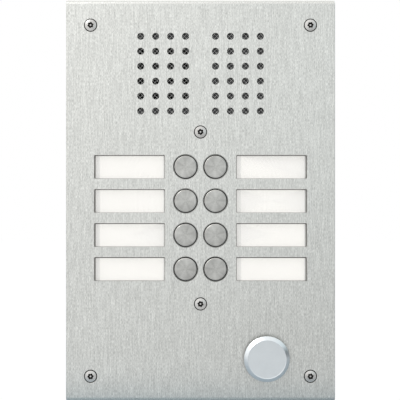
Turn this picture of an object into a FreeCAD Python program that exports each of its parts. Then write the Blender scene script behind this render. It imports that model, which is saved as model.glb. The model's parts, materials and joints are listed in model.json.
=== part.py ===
import FreeCAD, Part
import math
import os

# Door intercom panel: a stainless face plate on a gasket, a wall box behind it, and between them the
# button and name module, the loudspeaker and microphone holder, the light button and the electronics.
# Millimetres. +Z is up, the front faces -Y, and the origin is the centre of the wall box's rear face.

# ---- driving dimensions ------------------------------------------------------------------------
plate_width = 180.0
plate_height = 269.0
sheet_thickness = 2.5
inner_bend_radius = 0.5
fold_depth = 5.0              # how far the folded top and bottom edges reach back from the front face
edge_break = 0.3

gasket_thickness = 3.0
gasket_edge_gap = 0.8         # between the gasket and the folded edges
gasket_inner_gap = 1.5        # between the gasket's opening and the box's inner wall
gasket_pad = 14.0             # square pad of gasket round each corner screw

box_depth = 45.0
box_wall = 1.5
box_overlap = 8.5             # how far the plate reaches past the box on each side
box_corner_radius = 2.0
fixing_spacing_x = 100.0
fixing_spacing_z = 180.0
fixing_hole_radius = 2.75
knock_out_radius = 10.0
knock_out_groove = 0.7        # width of the groove round each blank
knock_out_depth = 0.5
knock_out_x = 40.0
knock_out_z = 45.0

corner_screw_inset_x = 16.5
corner_screw_inset_z = 17.1
screw_radius = 2.0
screw_head_radius = 4.4
screw_dome_height = 0.8
screw_clearance = 0.25
corner_screw_length = 12.0
module_screw_length = 12.0
recess_outer_radius = 1.9
recess_inner_radius = 1.45
recess_depth = 1.6
recess_points = 6
recess_pin_radius = 0.6
thread_gap = 0.05             # between a screw and the hole that it is screwed into
seat_gap = 0.05               # between parts that lie against each other on curved or tapered faces

lug_width = 16.0
lug_thickness = 2.0
lug_leg_length = 12.0
lug_nut_radius = 3.6
lug_nut_height = 4.0

cable_hole_x = -40.0
cable_hole_radius = 10.0
cable_radius = 4.0
grommet_flange = 2.5

grille_columns = 4
grille_rows = 6
grille_pitch = 10.0
grille_hole_radius = 2.35
grille_inner_x = 10.0         # from the centre line to the nearest column of each grille
grille_top_inset = 24.5       # from the plate's top edge to the highest row
mesh_margin = 5.0             # how far the mesh reaches past the outer holes' centres
mesh_thickness = 0.6

module_offset = -11.5         # centre of the button and name module below the plate's centre
module_screw_offset = 57.5    # centre-line screws above and below the module's centre
row_count = 4
row_pitch = 22.8
window_width = 47.5
window_height = 16.0
window_corner_radius = 0.7
window_offset = 37.5          # from a button's centre to its window's centre
window_pane_gap = 0.2
window_pane_rise = 1.0        # how far the pane stands into the plate's opening
window_flange = 1.8
window_flange_thickness = 1.2
card_width = 42.5
card_height = 17.6
card_thickness = 0.3
card_shift = 1.0              # the card sits off the window's centre
diffuser_thickness = 1.5
diffuser_margin = 0.1
led_size = 3.5
led_height = 1.4
led_spacing = 16.0

button_radius = 8.0
button_spacing = 4.0          # between the caps of a pair
button_chamfer = 0.9
button_gap = 0.5              # between the cap and the plate's hole
button_rise = 0.3             # how far the cap stands out of the plate
button_travel = 1.2
button_flange = 1.1           # how far the retaining flange reaches past the cap
button_flange_thickness = 1.2
button_stop_gap = 0.2
button_stem_radius = 4.0
button_stem_length = 7.0
running_gap = 0.05

carrier_depth = 12.0
carrier_wall = 2.0
carrier_floor = 2.0
carrier_margin = 3.5          # outside the window pockets
carrier_corner_radius = 3.0
carrier_rib = 1.5
well_gap = 0.2                # round the retaining flange
well_spare = 0.4              # depth left under the flange when the button is pressed
guide_length = 4.0
guide_wall = 2.0
mat_thickness = 0.8
mat_margin = 8.5              # how far the keypad mat reaches past the outer buttons' centres
mat_gap = 0.3
dome_radius = 5.0
dome_top_radius = 2.6
dome_wall = 0.7
dome_gap = 0.2
light_well_front = (45.0, 15.0)
light_well_back = (30.0, 8.0)
boss_radius = 3.6
boss_inset = 5.5
screw_boss_radius = 4.0       # of the two bosses for the centre-line screws
screw_boss_relief = 1.0       # how far they stop short of the carrier's back

board_thickness = 1.6
board_edge_gap = 1.0
board_screw_radius = 1.5
board_screw_head_radius = 2.8
board_screw_head_height = 1.8
board_screw_length = 6.0

chassis_width = 112.0
chassis_height = 66.0
chassis_floor = 4.0
chassis_rim = 2.0
chassis_rim_height = 4.0
chassis_corner_radius = 4.0
stud_inset = 6.0
stud_radius = 1.5
stud_length = 8.0
loose_gap = 0.2               # between fixed parts that need no close fit
nut_width = 5.5
nut_height = 2.4

speaker_radius = 25.0
speaker_opening_radius = 22.0
speaker_collar = 2.2
speaker_collar_height = 4.0
speaker_gasket_thickness = 0.6
speaker_sheet = 0.8
speaker_basket_depth = 8.0
speaker_cone_thickness = 0.4
speaker_basket_rim = 2.1      # width of the basket's flat rim
speaker_gasket_inset = 0.5
speaker_hook_reach = 1.2
speaker_hook_width = 5.0
voice_coil_reach = 3.0        # how far the coil stands into the magnet's ring gap
speaker_tag_width = 12.0
speaker_tag_height = 6.0
speaker_tag_thickness = 2.0
magnet_radius = 16.0
magnet_height = 7.0
magnet_plate_thickness = 2.0
voice_coil_radius = 7.0
capsule_radius = 4.85
capsule_length = 6.4
boot_wall = 1.6
boot_lip = 0.8
boot_gap = 0.1                # between the boot and the mesh
boot_length = 9.3
sound_hole_radius = 2.5

light_button_inset_x = 45.9   # from the plate's right edge
light_button_inset_z = 29.3   # from the plate's lower edge
light_cap_radius = 15.25
light_face_radius = 12.75
light_cap_edge = 0.7
light_cap_bevel = 2.0
light_travel = 1.4
light_cap_gap = 1.6           # between the cap and its housing, a little more than the travel
light_stem_radius = 6.0
housing_radius = 11.0
housing_flange_radius = 14.0
housing_flange_thickness = 1.0
light_seal_thickness = 0.5
light_washer_thickness = 0.8
light_washer_rim = 1.0        # how far the washer reaches past the housing's flange
light_washer_teeth = 12
light_washer_notch = 2.0
housing_length = 18.5
housing_guide_length = 8.0
spring_pocket_radius = 9.5
light_spring_radius = 7.8
light_spring_wire = 0.9
light_spring_turns = 3.5
clip_radius = 8.5
clip_thickness = 0.8
clip_groove = 1.0
clip_gap = 0.1
clip_mouth = 8.08             # width of the clip's open side
light_stem_end = 3.0          # stem behind the clip
housing_nut_width = 27.0
housing_nut_height = 5.0
switch_size = 26.0
switch_depth = 10.0
switch_skirt_length = 6.0
switch_corner_radius = 1.0
switch_room = 1.0             # round the clip, inside the switch
switch_gap = 0.3              # left between the stem and the switch when the button is pressed
plunger_guide = 4.0           # how far the switch's plunger reaches into its block
blade_length = 5.0
blade_width = 4.8
blade_thickness = 0.8

main_board_width = 110.0
main_board_height = 62.0
main_board_stand = 9.0        # from the box's rear wall to the board
pillar_width = 5.5
pillar_inset = 5.0
header_width = 18.0
header_height = 6.0
header_depth = 6.0
ribbon_x = 30.0
ribbon_header_inset = 21.0    # from the main board's lower edge to its header
ribbon_width = 15.0
ribbon_thickness = 1.0
terminal_ways = 8
terminal_pitch = 5.0
terminal_height = 9.0
terminal_depth = 10.0
terminal_mouth = 3.2          # width of a wire entry and of the screw hole above it
terminal_mouth_height = 6.0
terminal_screw_depth = 2.0
capacitor_radius = 5.0
capacitor_length = 11.0
capacitor_count = 3
capacitor_pitch = 12.0
capacitor_first_x = 8.0
capacitor_edge_gap = 3.0      # to the main board's upper edge
trimmer_size = 9.5
trimmer_depth = 5.0
trimmer_rotor_rise = 0.8
relay_width = 12.0
relay_height = 15.0
relay_depth = 15.5
relay_edge_gap = 2.0
relay_corner_radius = 0.8
chip_width = 20.0
chip_height = 6.4
chip_depth = 3.4
chip_legs = 8                 # on each side
chip_leg_pitch = 2.54
chip_leg_width = 0.6
chip_leg_reach = 0.8
chip_stand = 0.5              # between the chip's body and the board
lead_radius = 1.1
speaker_lead_side = 14.0      # how far the speaker's lead runs sideways before it turns back
microphone_lead_step = 7.0    # how far the microphone's lead rises on its way back
microphone_lead_bend = 4.0
switch_lead_side = 15.0

# ---- places worked out from them ---------------------------------------------------------------
wall_y = -box_depth
plate_back_y = wall_y - gasket_thickness
plate_front_y = plate_back_y - sheet_thickness
box_width = plate_width - 2 * box_overlap
box_height = plate_height - 2 * box_overlap
box_inner_x = box_width / 2 - box_wall
box_inner_z = box_height / 2 - box_wall
screw_x = plate_width / 2 - corner_screw_inset_x
screw_z = plate_height / 2 - corner_screw_inset_z

grille_top_z = plate_height / 2 - grille_top_inset
grille_width = (grille_columns - 1) * grille_pitch
grille_height = (grille_rows - 1) * grille_pitch
grille_x = grille_inner_x + grille_width / 2
audio_z = grille_top_z - grille_height / 2

module_z = module_offset
row_z = [module_z + (row_count - 1 - 2 * row) * row_pitch / 2 for row in range(row_count)]
button_x = button_radius + button_spacing / 2
button_flange_radius = button_radius + button_flange
well_radius = button_flange_radius + well_gap
window_x = button_x + window_offset
button_centres = [(side * button_x, z) for z in row_z for side in (-1, 1)]
window_centres = [(side * window_x, z) for z in row_z for side in (-1, 1)]

pane_flange_width = window_width + 2 * window_flange
pane_flange_height = window_height + 2 * window_flange
pocket_width = pane_flange_width + 2 * diffuser_margin
pocket_height = pane_flange_height + 2 * diffuser_margin
pocket_depth = window_flange_thickness + card_thickness + diffuser_thickness
carrier_back_y = plate_back_y + carrier_depth
carrier_floor_y = plate_back_y + pocket_depth + carrier_floor
carrier_width = 2 * (window_x + pocket_width / 2 + carrier_margin)
carrier_height = 2 * (module_screw_offset + boss_radius + carrier_wall)
well_depth = button_stop_gap + button_flange_thickness + button_travel + well_spare
mat_front_y = carrier_back_y - mat_thickness
flange_front_y = plate_back_y + button_stop_gap
flange_back_y = flange_front_y + button_flange_thickness
stem_end_y = flange_back_y + button_stem_length
button_board_y = carrier_back_y
board_boss_x = carrier_width / 2 - boss_inset
board_boss_z = carrier_height / 2 - boss_inset

light_x = plate_width / 2 - light_button_inset_x
light_z = -plate_height / 2 + light_button_inset_z
housing_front_y = plate_front_y - light_seal_thickness - housing_flange_thickness
housing_back_y = plate_front_y + housing_length
spring_floor_y = housing_back_y - housing_guide_length
light_cap_back_y = housing_front_y - light_cap_gap
light_cap_front_y = light_cap_back_y - light_cap_edge - light_cap_bevel
clip_front_y = housing_back_y + clip_gap
clip_back_y = clip_front_y + clip_thickness
light_stem_end_y = clip_back_y + light_stem_end

chassis_back_y = plate_back_y + chassis_floor
speaker_rim_y = chassis_back_y + speaker_gasket_thickness + speaker_cone_thickness
basket_back_y = speaker_rim_y + speaker_basket_depth + speaker_sheet
main_board_back_y = -box_wall - main_board_stand
main_board_front_y = main_board_back_y - board_thickness
main_board_z = audio_z
magnet_back_y = basket_back_y + magnet_height + 2 * magnet_plate_thickness
switch_cavity_back_y = light_stem_end_y + switch_gap + light_travel
plunger_back_y = switch_cavity_back_y + plunger_guide
switch_back_y = switch_cavity_back_y + switch_depth


# ---- shapes that many pieces use ---------------------------------------------------------------
def slab(x, z, width, height, y_front, y_back, corner=0.0):
    """An upright slab centred on (x, z), with rounded corners where corner is more than 0."""
    box = Part.makeBox(width, y_back - y_front, height,
                       FreeCAD.Vector(x - width / 2, y_front, z - height / 2))
    if corner <= 0:
        return box
    upright = [edge for edge in box.Edges if abs(edge.tangentAt(edge.FirstParameter).y) > 0.99]
    return box.makeFillet(corner, upright)


def rod(x, z, radius, y_front, y_back):
    """A cylinder along Y."""
    return Part.makeCylinder(radius, y_back - y_front, FreeCAD.Vector(x, y_front, z),
                             FreeCAD.Vector(0, 1, 0))


def ring(x, z, outer_radius, inner_radius, y_front, y_back):
    """A tube along Y."""
    return rod(x, z, outer_radius, y_front, y_back).cut(rod(x, z, inner_radius, y_front, y_back))


def turned(x, z, outline):
    """A solid turned about the Y line through (x, z), from (radius, y) points."""
    points = [FreeCAD.Vector(x + radius, y, z) for radius, y in outline]
    face = Part.Face(Part.makePolygon(points + points[:1]))
    return face.revolve(FreeCAD.Vector(x, 0, z), FreeCAD.Vector(0, 1, 0), 360)


def prism(x, z, corners, y_front, y_back):
    """A prism along Y from (x, z) corner points about (x, z)."""
    points = [FreeCAD.Vector(x + dx, y_front, z + dz) for dx, dz in corners]
    face = Part.Face(Part.makePolygon(points + points[:1]))
    return face.extrude(FreeCAD.Vector(0, y_back - y_front, 0))


def hexagon(width):
    """Corner points of a hexagon with this width across its flats."""
    reach = width / math.sqrt(3)
    angles = [math.radians(60 * side) for side in range(6)]
    return [(reach * math.cos(angle), reach * math.sin(angle)) for angle in angles]


def tapered_block(x, z, front_size, back_size, y_front, y_back):
    """A four-sided block that changes from one size to another along Y."""
    wires = []
    for (width, height), y in ((front_size, y_front), (back_size, y_back)):
        corners = [(-1, -1), (1, -1), (1, 1), (-1, 1)]
        points = [FreeCAD.Vector(x + sx * width / 2, y, z + sz * height / 2) for sx, sz in corners]
        wires.append(Part.makePolygon(points + points[:1]))
    return Part.makeLoft(wires, True, True)


def grown(size, amount):
    """A (width, height) pair made larger all round."""
    return (size[0] + 2 * amount, size[1] + 2 * amount)


def bent_path(points):
    """A wire through the points: straight runs joined by the largest arcs that the runs allow."""
    corners = [FreeCAD.Vector(*point) for point in points]
    edges = []
    start = corners[0]
    for before, corner, after in zip(corners, corners[1:], corners[2:]):
        arriving = corner - before
        leaving = after - corner
        reach = 0.45 * min(arriving.Length, leaving.Length)
        arriving.normalize()
        leaving.normalize()
        radius = reach / math.tan(arriving.getAngle(leaving) / 2)
        bend_start = corner - arriving * reach
        bend_end = corner + leaving * reach
        inward = (leaving - arriving).normalize()
        middle = corner + inward * (math.hypot(radius, reach) - radius)
        edges.append(Part.makeLine(start, bend_start))
        edges.append(Part.Arc(bend_start, middle, bend_end).toShape())
        start = bend_end
    edges.append(Part.makeLine(start, corners[-1]))
    return Part.Wire(edges)


def joined(pieces):
    """One solid from several that meet or overlap."""
    return pieces[0].multiFuse(pieces[1:]).removeSplitter()


def four_corners(x, z):
    """The four places (+-x, +-z)."""
    return [(side * x, level * z) for side in (-1, 1) for level in (-1, 1)]


# ---- fasteners ---------------------------------------------------------------------------------
def countersunk_screw(x, z, length):
    """Raised countersunk security screw, its star recess round a centre pin."""
    rim = FreeCAD.Vector(x + screw_head_radius, plate_front_y, z)
    crown = FreeCAD.Vector(x, plate_front_y - screw_dome_height, z)
    sphere_radius = (screw_head_radius ** 2 + screw_dome_height ** 2) / (2 * screw_dome_height)
    half_angle = math.asin(screw_head_radius / sphere_radius) / 2
    on_dome = FreeCAD.Vector(x + sphere_radius * math.sin(half_angle),
                             crown.y + sphere_radius * (1 - math.cos(half_angle)), z)
    neck_y = plate_front_y + screw_head_radius - screw_radius
    neck = FreeCAD.Vector(x + screw_radius, neck_y, z)
    tip = FreeCAD.Vector(x + screw_radius, plate_front_y + length, z)
    end = FreeCAD.Vector(x, plate_front_y + length, z)
    edges = [Part.Arc(crown, on_dome, rim).toShape()]
    for start, stop in ((rim, neck), (neck, tip), (tip, end), (end, crown)):
        edges.append(Part.makeLine(start, stop))
    body = Part.Face(Part.Wire(edges)).revolve(FreeCAD.Vector(x, 0, z), FreeCAD.Vector(0, 1, 0), 360)
    star = []
    for point in range(2 * recess_points):
        reach = recess_outer_radius if point % 2 == 0 else recess_inner_radius
        angle = math.pi * point / recess_points
        star.append((reach * math.cos(angle), reach * math.sin(angle)))
    recess_floor_y = plate_front_y - screw_dome_height + recess_depth
    recess = prism(x, z, star, plate_front_y - 2 * screw_dome_height, recess_floor_y)
    pin = rod(x, z, recess_pin_radius, plate_front_y - 2 * screw_dome_height, recess_floor_y)
    return body.cut(recess.cut(pin))


def countersink(x, z):
    """What is cut from the plate for one countersunk screw."""
    mouth = screw_head_radius + seat_gap
    hole = screw_radius + screw_clearance
    outline = [(0, plate_front_y - 1), (mouth, plate_front_y - 1), (mouth, plate_front_y),
               (hole, plate_front_y + mouth - hole), (hole, plate_back_y + 1), (0, plate_back_y + 1)]
    return turned(x, z, outline)


def board_screw(x, z, seat_y):
    """Small pan-head screw, its head at the back of seat_y and its shank towards the front."""
    outline = [(0, seat_y - board_screw_length), (board_screw_radius, seat_y - board_screw_length),
               (board_screw_radius, seat_y), (board_screw_head_radius, seat_y),
               (board_screw_head_radius, seat_y + board_screw_head_height),
               (0, seat_y + board_screw_head_height)]
    return turned(x, z, outline)


def pillar_screw(x, z, seat_y):
    """The same screw the other way round."""
    outline = [(0, seat_y + board_screw_length), (board_screw_radius, seat_y + board_screw_length),
               (board_screw_radius, seat_y), (board_screw_head_radius, seat_y),
               (board_screw_head_radius, seat_y - board_screw_head_height),
               (0, seat_y - board_screw_head_height)]
    return turned(x, z, outline)


# ---- plate, gasket and wall box ----------------------------------------------------------------
def folded_sheet():
    """The plate before its holes: flat sheet with the top and bottom edges folded back."""
    outer = slab(0, 0, plate_width, plate_height, plate_front_y, plate_front_y + fold_depth)
    inner = slab(0, 0, 2 * plate_width, plate_height - 2 * sheet_thickness, plate_back_y, 0)

    def bends(shape, y):
        return [edge for edge in shape.Edges
                if abs(edge.CenterOfMass.y - y) < 1e-6 and abs(edge.CenterOfMass.x) < 1e-6]

    outer = outer.makeFillet(inner_bend_radius + sheet_thickness, bends(outer, plate_front_y))
    inner = inner.makeFillet(inner_bend_radius, bends(inner, plate_back_y))
    sides = [edge for edge in outer.Edges
             if abs(edge.CenterOfMass.y - plate_front_y) < 1e-6 and abs(edge.CenterOfMass.z) < 1e-6]
    return outer.makeChamfer(edge_break, sides).cut(inner)


def face_plate():
    cuts = [countersink(x, z) for x, z in four_corners(screw_x, screw_z)]
    cuts += [countersink(0, module_z + side * module_screw_offset) for side in (-1, 1)]
    for side in (-1, 1):
        for column in range(grille_columns):
            for row in range(grille_rows):
                x = side * (grille_inner_x + column * grille_pitch)
                z = grille_top_z - row * grille_pitch
                cuts.append(rod(x, z, grille_hole_radius, plate_front_y - 1, plate_back_y + 1))
    for x, z in button_centres:
        cuts.append(rod(x, z, button_radius + button_gap, plate_front_y - 1, plate_back_y + 1))
    for x, z in window_centres:
        cuts.append(slab(x, z, window_width, window_height, plate_front_y - 1, plate_back_y + 1,
                         window_corner_radius))
    cuts.append(rod(light_x, light_z, housing_radius + loose_gap, plate_front_y - 1, plate_back_y + 1))
    return folded_sheet().cut(Part.makeCompound(cuts))


def plate_gasket():
    width = plate_width - 2 * gasket_edge_gap
    height = plate_height - 2 * (sheet_thickness + gasket_edge_gap)
    opening_x = box_inner_x - gasket_inner_gap
    opening_z = box_inner_z - gasket_inner_gap
    sheet = slab(0, 0, width, height, plate_back_y, wall_y)
    opening = slab(0, 0, 2 * opening_x, 2 * opening_z, plate_back_y, wall_y)
    pads = [slab(x, z, gasket_pad, gasket_pad, plate_back_y, wall_y)
            for x, z in four_corners(screw_x, screw_z)]
    holes = [rod(x, z, screw_radius + screw_clearance, plate_back_y, wall_y)
             for x, z in four_corners(screw_x, screw_z)]
    return joined([sheet.cut(opening)] + pads).cut(Part.makeCompound(holes))


def cable_hole_y():
    """The middle of the box's depth, where the cable comes in."""
    return -box_depth / 2


def knock_out(place, outward):
    """The groove round one blank that can be pushed out, cut into the outside of a wall."""
    wall_face = FreeCAD.Vector(*place)
    direction = FreeCAD.Vector(*outward)
    floor = wall_face - direction * knock_out_depth
    height = 2 * knock_out_depth
    blank = Part.makeCylinder(knock_out_radius - knock_out_groove, height, floor, direction)
    return Part.makeCylinder(knock_out_radius, height, floor, direction).cut(blank)


def knock_outs():
    """Blanks for other cable ways: two above, one below, one in each side and two in the rear."""
    top = box_height / 2
    side = box_width / 2
    grooves = [knock_out((x, cable_hole_y(), top), (0, 0, 1)) for x in (-knock_out_x, knock_out_x)]
    grooves.append(knock_out((knock_out_x, cable_hole_y(), -top), (0, 0, -1)))
    grooves += [knock_out((reach * side, cable_hole_y(), 0), (reach, 0, 0)) for reach in (-1, 1)]
    grooves += [knock_out((0, 0, z), (0, 1, 0)) for z in (-knock_out_z, knock_out_z)]
    return grooves


def back_box():
    """Pressed steel box with its wall fixings, its cable hole and the blanks for others."""
    outer = slab(0, 0, box_width, box_height, wall_y, 0, box_corner_radius)
    inner = slab(0, 0, 2 * box_inner_x, 2 * box_inner_z, wall_y - 1, -box_wall)
    cuts = [inner] + knock_outs()
    for x, z in four_corners(fixing_spacing_x / 2, fixing_spacing_z / 2):
        cuts.append(rod(x, z, fixing_hole_radius, -2 * box_wall, box_wall))
    below = FreeCAD.Vector(cable_hole_x, cable_hole_y(), -box_height / 2 - box_wall)
    cuts.append(Part.makeCylinder(cable_hole_radius, 3 * box_wall, below))
    return outer.cut(cuts)


def corner_lug(side, level):
    """Bent tab welded inside one corner of the box, with a weld nut for the corner screw."""
    centre_x = side * (box_inner_x - lug_width / 2)
    centre_z = level * (box_inner_z - lug_width / 2)
    tab_back_y = wall_y + lug_thickness
    tab = slab(centre_x, centre_z, lug_width, lug_width, wall_y, tab_back_y)
    leg_x = side * (box_inner_x - lug_thickness / 2)
    leg = slab(leg_x, centre_z, lug_thickness, lug_width, tab_back_y, tab_back_y + lug_leg_length)
    nut = rod(side * screw_x, level * screw_z, lug_nut_radius, tab_back_y, tab_back_y + lug_nut_height)
    thread = rod(side * screw_x, level * screw_z, screw_radius + thread_gap, wall_y - 1,
                 tab_back_y + lug_nut_height + 1)
    return joined([tab, leg, nut]).cut(thread)


def cable_grommet():
    """Rubber ring in the cable hole, with a groove for the box's wall."""
    outside_z = -box_height / 2
    inside_z = -box_inner_z
    groove = cable_hole_radius - seat_gap
    outline = [(cable_radius, outside_z - grommet_flange),
               (cable_hole_radius + grommet_flange, outside_z - grommet_flange),
               (cable_hole_radius + grommet_flange, outside_z - seat_gap),
               (groove, outside_z - seat_gap),
               (groove, inside_z + seat_gap),
               (cable_hole_radius + grommet_flange, inside_z + seat_gap),
               (cable_hole_radius, inside_z + 2 * grommet_flange),
               (cable_radius, inside_z + 2 * grommet_flange)]
    points = [FreeCAD.Vector(cable_hole_x + radius, cable_hole_y(), z) for radius, z in outline]
    face = Part.Face(Part.makePolygon(points + points[:1]))
    return face.revolve(FreeCAD.Vector(cable_hole_x, cable_hole_y(), 0), FreeCAD.Vector(0, 0, 1), 360)


# ---- loudspeaker and microphone ----------------------------------------------------------------
def mesh_size():
    return (grille_width + 2 * mesh_margin, grille_height + 2 * mesh_margin)


def grille_mesh(side):
    width, height = mesh_size()
    return slab(side * grille_x, audio_z, width, height, plate_back_y, plate_back_y + mesh_thickness)


def stud_places():
    x = chassis_width / 2 - stud_inset
    z = chassis_height / 2 - stud_inset
    return [(dx, audio_z + dz) for dx, dz in four_corners(x, z)]


def weld_stud(x, z):
    return rod(x, z, stud_radius, plate_back_y, plate_back_y + stud_length)


def stud_nut(x, z):
    nut = prism(x, z, hexagon(nut_width), chassis_back_y, chassis_back_y + nut_height)
    return nut.cut(rod(x, z, stud_radius + thread_gap, chassis_back_y, chassis_back_y + nut_height))


def speaker_hook(angle):
    """Snap hook on the collar that holds the loudspeaker's rim down."""
    inner = speaker_radius - speaker_hook_reach
    outer = speaker_radius + speaker_collar
    front_y = speaker_rim_y + speaker_sheet + seat_gap
    back_y = chassis_back_y + speaker_collar_height
    corner = FreeCAD.Vector(inner, front_y, -speaker_hook_width / 2)
    hook = Part.makeBox(outer - inner, back_y - front_y, speaker_hook_width, corner)
    hook = hook.common(rod(0, 0, outer - loose_gap, front_y, back_y))
    hook.rotate(FreeCAD.Vector(0, 0, 0), FreeCAD.Vector(0, 1, 0), angle)
    hook.translate(FreeCAD.Vector(-grille_x, 0, audio_z))
    return hook


def audio_chassis():
    """Moulded holder on four studs: mesh pockets in front, speaker collar and microphone tube behind."""
    rim_back_y = chassis_back_y + chassis_rim_height
    body = slab(0, audio_z, chassis_width, chassis_height, plate_back_y, rim_back_y,
                chassis_corner_radius)
    hollow = slab(0, audio_z, chassis_width - 2 * chassis_rim, chassis_height - 2 * chassis_rim,
                  chassis_back_y, rim_back_y, chassis_corner_radius - chassis_rim)
    ribs = [slab(0, audio_z + level * chassis_height / 4, carrier_rib, chassis_height / 2,
                 chassis_back_y, rim_back_y) for level in (-1, 1)]
    speaker_room = rod(-grille_x, audio_z, speaker_radius + loose_gap, chassis_back_y, rim_back_y)
    frame = joined([body.cut(hollow)] + ribs).cut(speaker_room)
    collar = ring(-grille_x, audio_z, speaker_radius + speaker_collar, speaker_radius + loose_gap,
                  chassis_back_y, chassis_back_y + speaker_collar_height)
    tube_back_y = chassis_back_y + speaker_collar_height
    tube = rod(grille_x, audio_z, capsule_radius + boot_wall + chassis_rim, chassis_back_y, tube_back_y)
    hooks = [speaker_hook(angle) for angle in (30, 150, 270)]
    whole = joined([frame, collar, tube] + hooks)
    width, height = mesh_size()
    cuts = [slab(side * grille_x, audio_z, width + loose_gap, height + loose_gap, plate_back_y,
                 plate_back_y + mesh_thickness) for side in (-1, 1)]
    cuts.append(rod(-grille_x, audio_z, speaker_opening_radius, plate_back_y, chassis_back_y))
    cuts.append(rod(grille_x, audio_z, capsule_radius + boot_wall + seat_gap, plate_back_y, tube_back_y))
    for x, z in stud_places():
        cuts.append(rod(x, z, stud_radius + loose_gap, plate_back_y, chassis_back_y))
    return whole.cut(cuts)


def speaker_gasket():
    return ring(-grille_x, audio_z, speaker_radius, speaker_opening_radius + speaker_gasket_inset,
                chassis_back_y, chassis_back_y + speaker_gasket_thickness)


def speaker_cone():
    """Paper cone with its lip, dust cap and voice coil."""
    front = chassis_back_y + speaker_gasket_thickness
    back = speaker_rim_y
    thickness = speaker_cone_thickness
    lip = speaker_radius - loose_gap
    neck_y = back + speaker_basket_depth / 2
    coil_y = basket_back_y + voice_coil_reach
    outline = [(lip, front), (speaker_opening_radius, front),
               (voice_coil_radius, neck_y - thickness), (0, neck_y - 3 * thickness),
               (0, neck_y - 2 * thickness), (voice_coil_radius - thickness, neck_y),
               (voice_coil_radius - thickness, coil_y), (voice_coil_radius, coil_y),
               (voice_coil_radius, neck_y), (speaker_opening_radius + thickness, back), (lip, back)]
    return turned(-grille_x, audio_z, outline)


def speaker_basket():
    """Pressed steel frame with four windows in its tapered wall."""
    rim_inner = speaker_radius - speaker_basket_rim
    floor_outer = magnet_radius - magnet_plate_thickness
    floor_y = speaker_rim_y + speaker_basket_depth
    outline = [(speaker_radius, speaker_rim_y), (rim_inner, speaker_rim_y), (floor_outer, floor_y),
               (voice_coil_radius + 1, floor_y), (voice_coil_radius + 1, basket_back_y),
               (floor_outer + speaker_sheet / 2, basket_back_y),
               (rim_inner + speaker_sheet / 2, speaker_rim_y + speaker_sheet),
               (speaker_radius, speaker_rim_y + speaker_sheet)]
    frame = turned(-grille_x, audio_z, outline)
    window_front_y = speaker_rim_y + 2 * speaker_sheet
    window_back_y = floor_y - speaker_sheet
    bars = [slab(-grille_x, audio_z, 3 * speaker_radius, magnet_radius, window_front_y, window_back_y),
            slab(-grille_x, audio_z, magnet_radius, 3 * speaker_radius, window_front_y, window_back_y)]
    return frame.cut(bars)


def speaker_magnet():
    """Magnet, plates and pole with the ring gap that the voice coil moves in."""
    front = basket_back_y
    plate = magnet_plate_thickness
    pole = voice_coil_radius - 2 * speaker_cone_thickness
    gap_outer = voice_coil_radius + speaker_cone_thickness
    gap_back = magnet_back_y - 2 * plate
    outline = [(0, front), (pole, front), (pole, gap_back), (gap_outer, gap_back),
               (gap_outer, front), (magnet_radius - plate, front), (magnet_radius - plate, front + plate),
               (magnet_radius, front + plate), (magnet_radius, magnet_back_y - plate),
               (magnet_radius - plate, magnet_back_y), (0, magnet_back_y)]
    return turned(-grille_x, audio_z, outline)


def speaker_terminals():
    """Insulating strip on the magnet's back with a solder tag at each end."""
    back_y = magnet_back_y + speaker_tag_thickness / 2
    strip = slab(-grille_x, audio_z, speaker_tag_width, speaker_tag_height, magnet_back_y, back_y)
    tags = [slab(-grille_x + side * speaker_tag_width / 4, audio_z, speaker_tag_width / 4,
                 speaker_tag_height / 2, back_y, magnet_back_y + speaker_tag_thickness)
            for side in (-1, 1)]
    return joined([strip] + tags)


def boot_front_y():
    return plate_back_y + mesh_thickness + boot_gap


def microphone_boot():
    """Rubber cup that keeps knocks on the plate out of the microphone."""
    front = boot_front_y()
    outer = capsule_radius + boot_wall
    seat = capsule_radius + seat_gap
    lip_y = front + boot_lip
    floor_y = lip_y + capsule_length + 2 * seat_gap
    back = front + boot_length
    outline = [(sound_hole_radius, front), (outer, front), (outer, back), (0, back), (0, floor_y),
               (seat, floor_y), (seat, lip_y), (sound_hole_radius, lip_y)]
    return turned(grille_x, audio_z, outline)


def microphone_capsule():
    front = boot_front_y() + boot_lip + seat_gap
    return rod(grille_x, audio_z, capsule_radius, front, front + capsule_length)


# ---- button and name module --------------------------------------------------------------------
def name_window(x, z):
    """Clear cover: a flange behind the plate and a pane that stands into its opening."""
    flange = slab(x, z, pane_flange_width, pane_flange_height, plate_back_y,
                  plate_back_y + window_flange_thickness)
    pane = slab(x, z, window_width - 2 * window_pane_gap, window_height - 2 * window_pane_gap,
                plate_back_y - window_pane_rise, plate_back_y, window_corner_radius - window_pane_gap)
    return joined([flange, pane])


def name_card(x, z):
    front = plate_back_y + window_flange_thickness
    return slab(x + card_shift, z, card_width, card_height, front, front + card_thickness)


def light_diffuser(x, z):
    front = plate_back_y + window_flange_thickness + card_thickness
    return slab(x, z, pane_flange_width, pane_flange_height, front, front + diffuser_thickness)


def call_button(x, z):
    """Turned metal cap with a retaining flange and a stem."""
    front = plate_front_y - button_rise
    outline = [(0, front), (button_radius - button_chamfer, front),
               (button_radius, front + button_chamfer), (button_radius, flange_front_y),
               (button_flange_radius, flange_front_y), (button_flange_radius, flange_back_y),
               (button_stem_radius, flange_back_y), (button_stem_radius, stem_end_y), (0, stem_end_y)]
    return turned(x, z, outline)


def keypad_dome(x, z):
    """One hollow dome of the keypad mat, under a button's stem."""
    top = stem_end_y + dome_gap
    outline = [(0, top), (dome_top_radius, top), (dome_radius, mat_front_y),
               (dome_radius, button_board_y), (dome_radius - dome_wall, button_board_y),
               (dome_top_radius - dome_wall / 2, top + dome_wall), (0, top + dome_wall)]
    return turned(x, z, outline)


def mat_size():
    return (2 * (button_x + mat_margin), (row_count - 1) * row_pitch + 2 * mat_margin)


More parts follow.
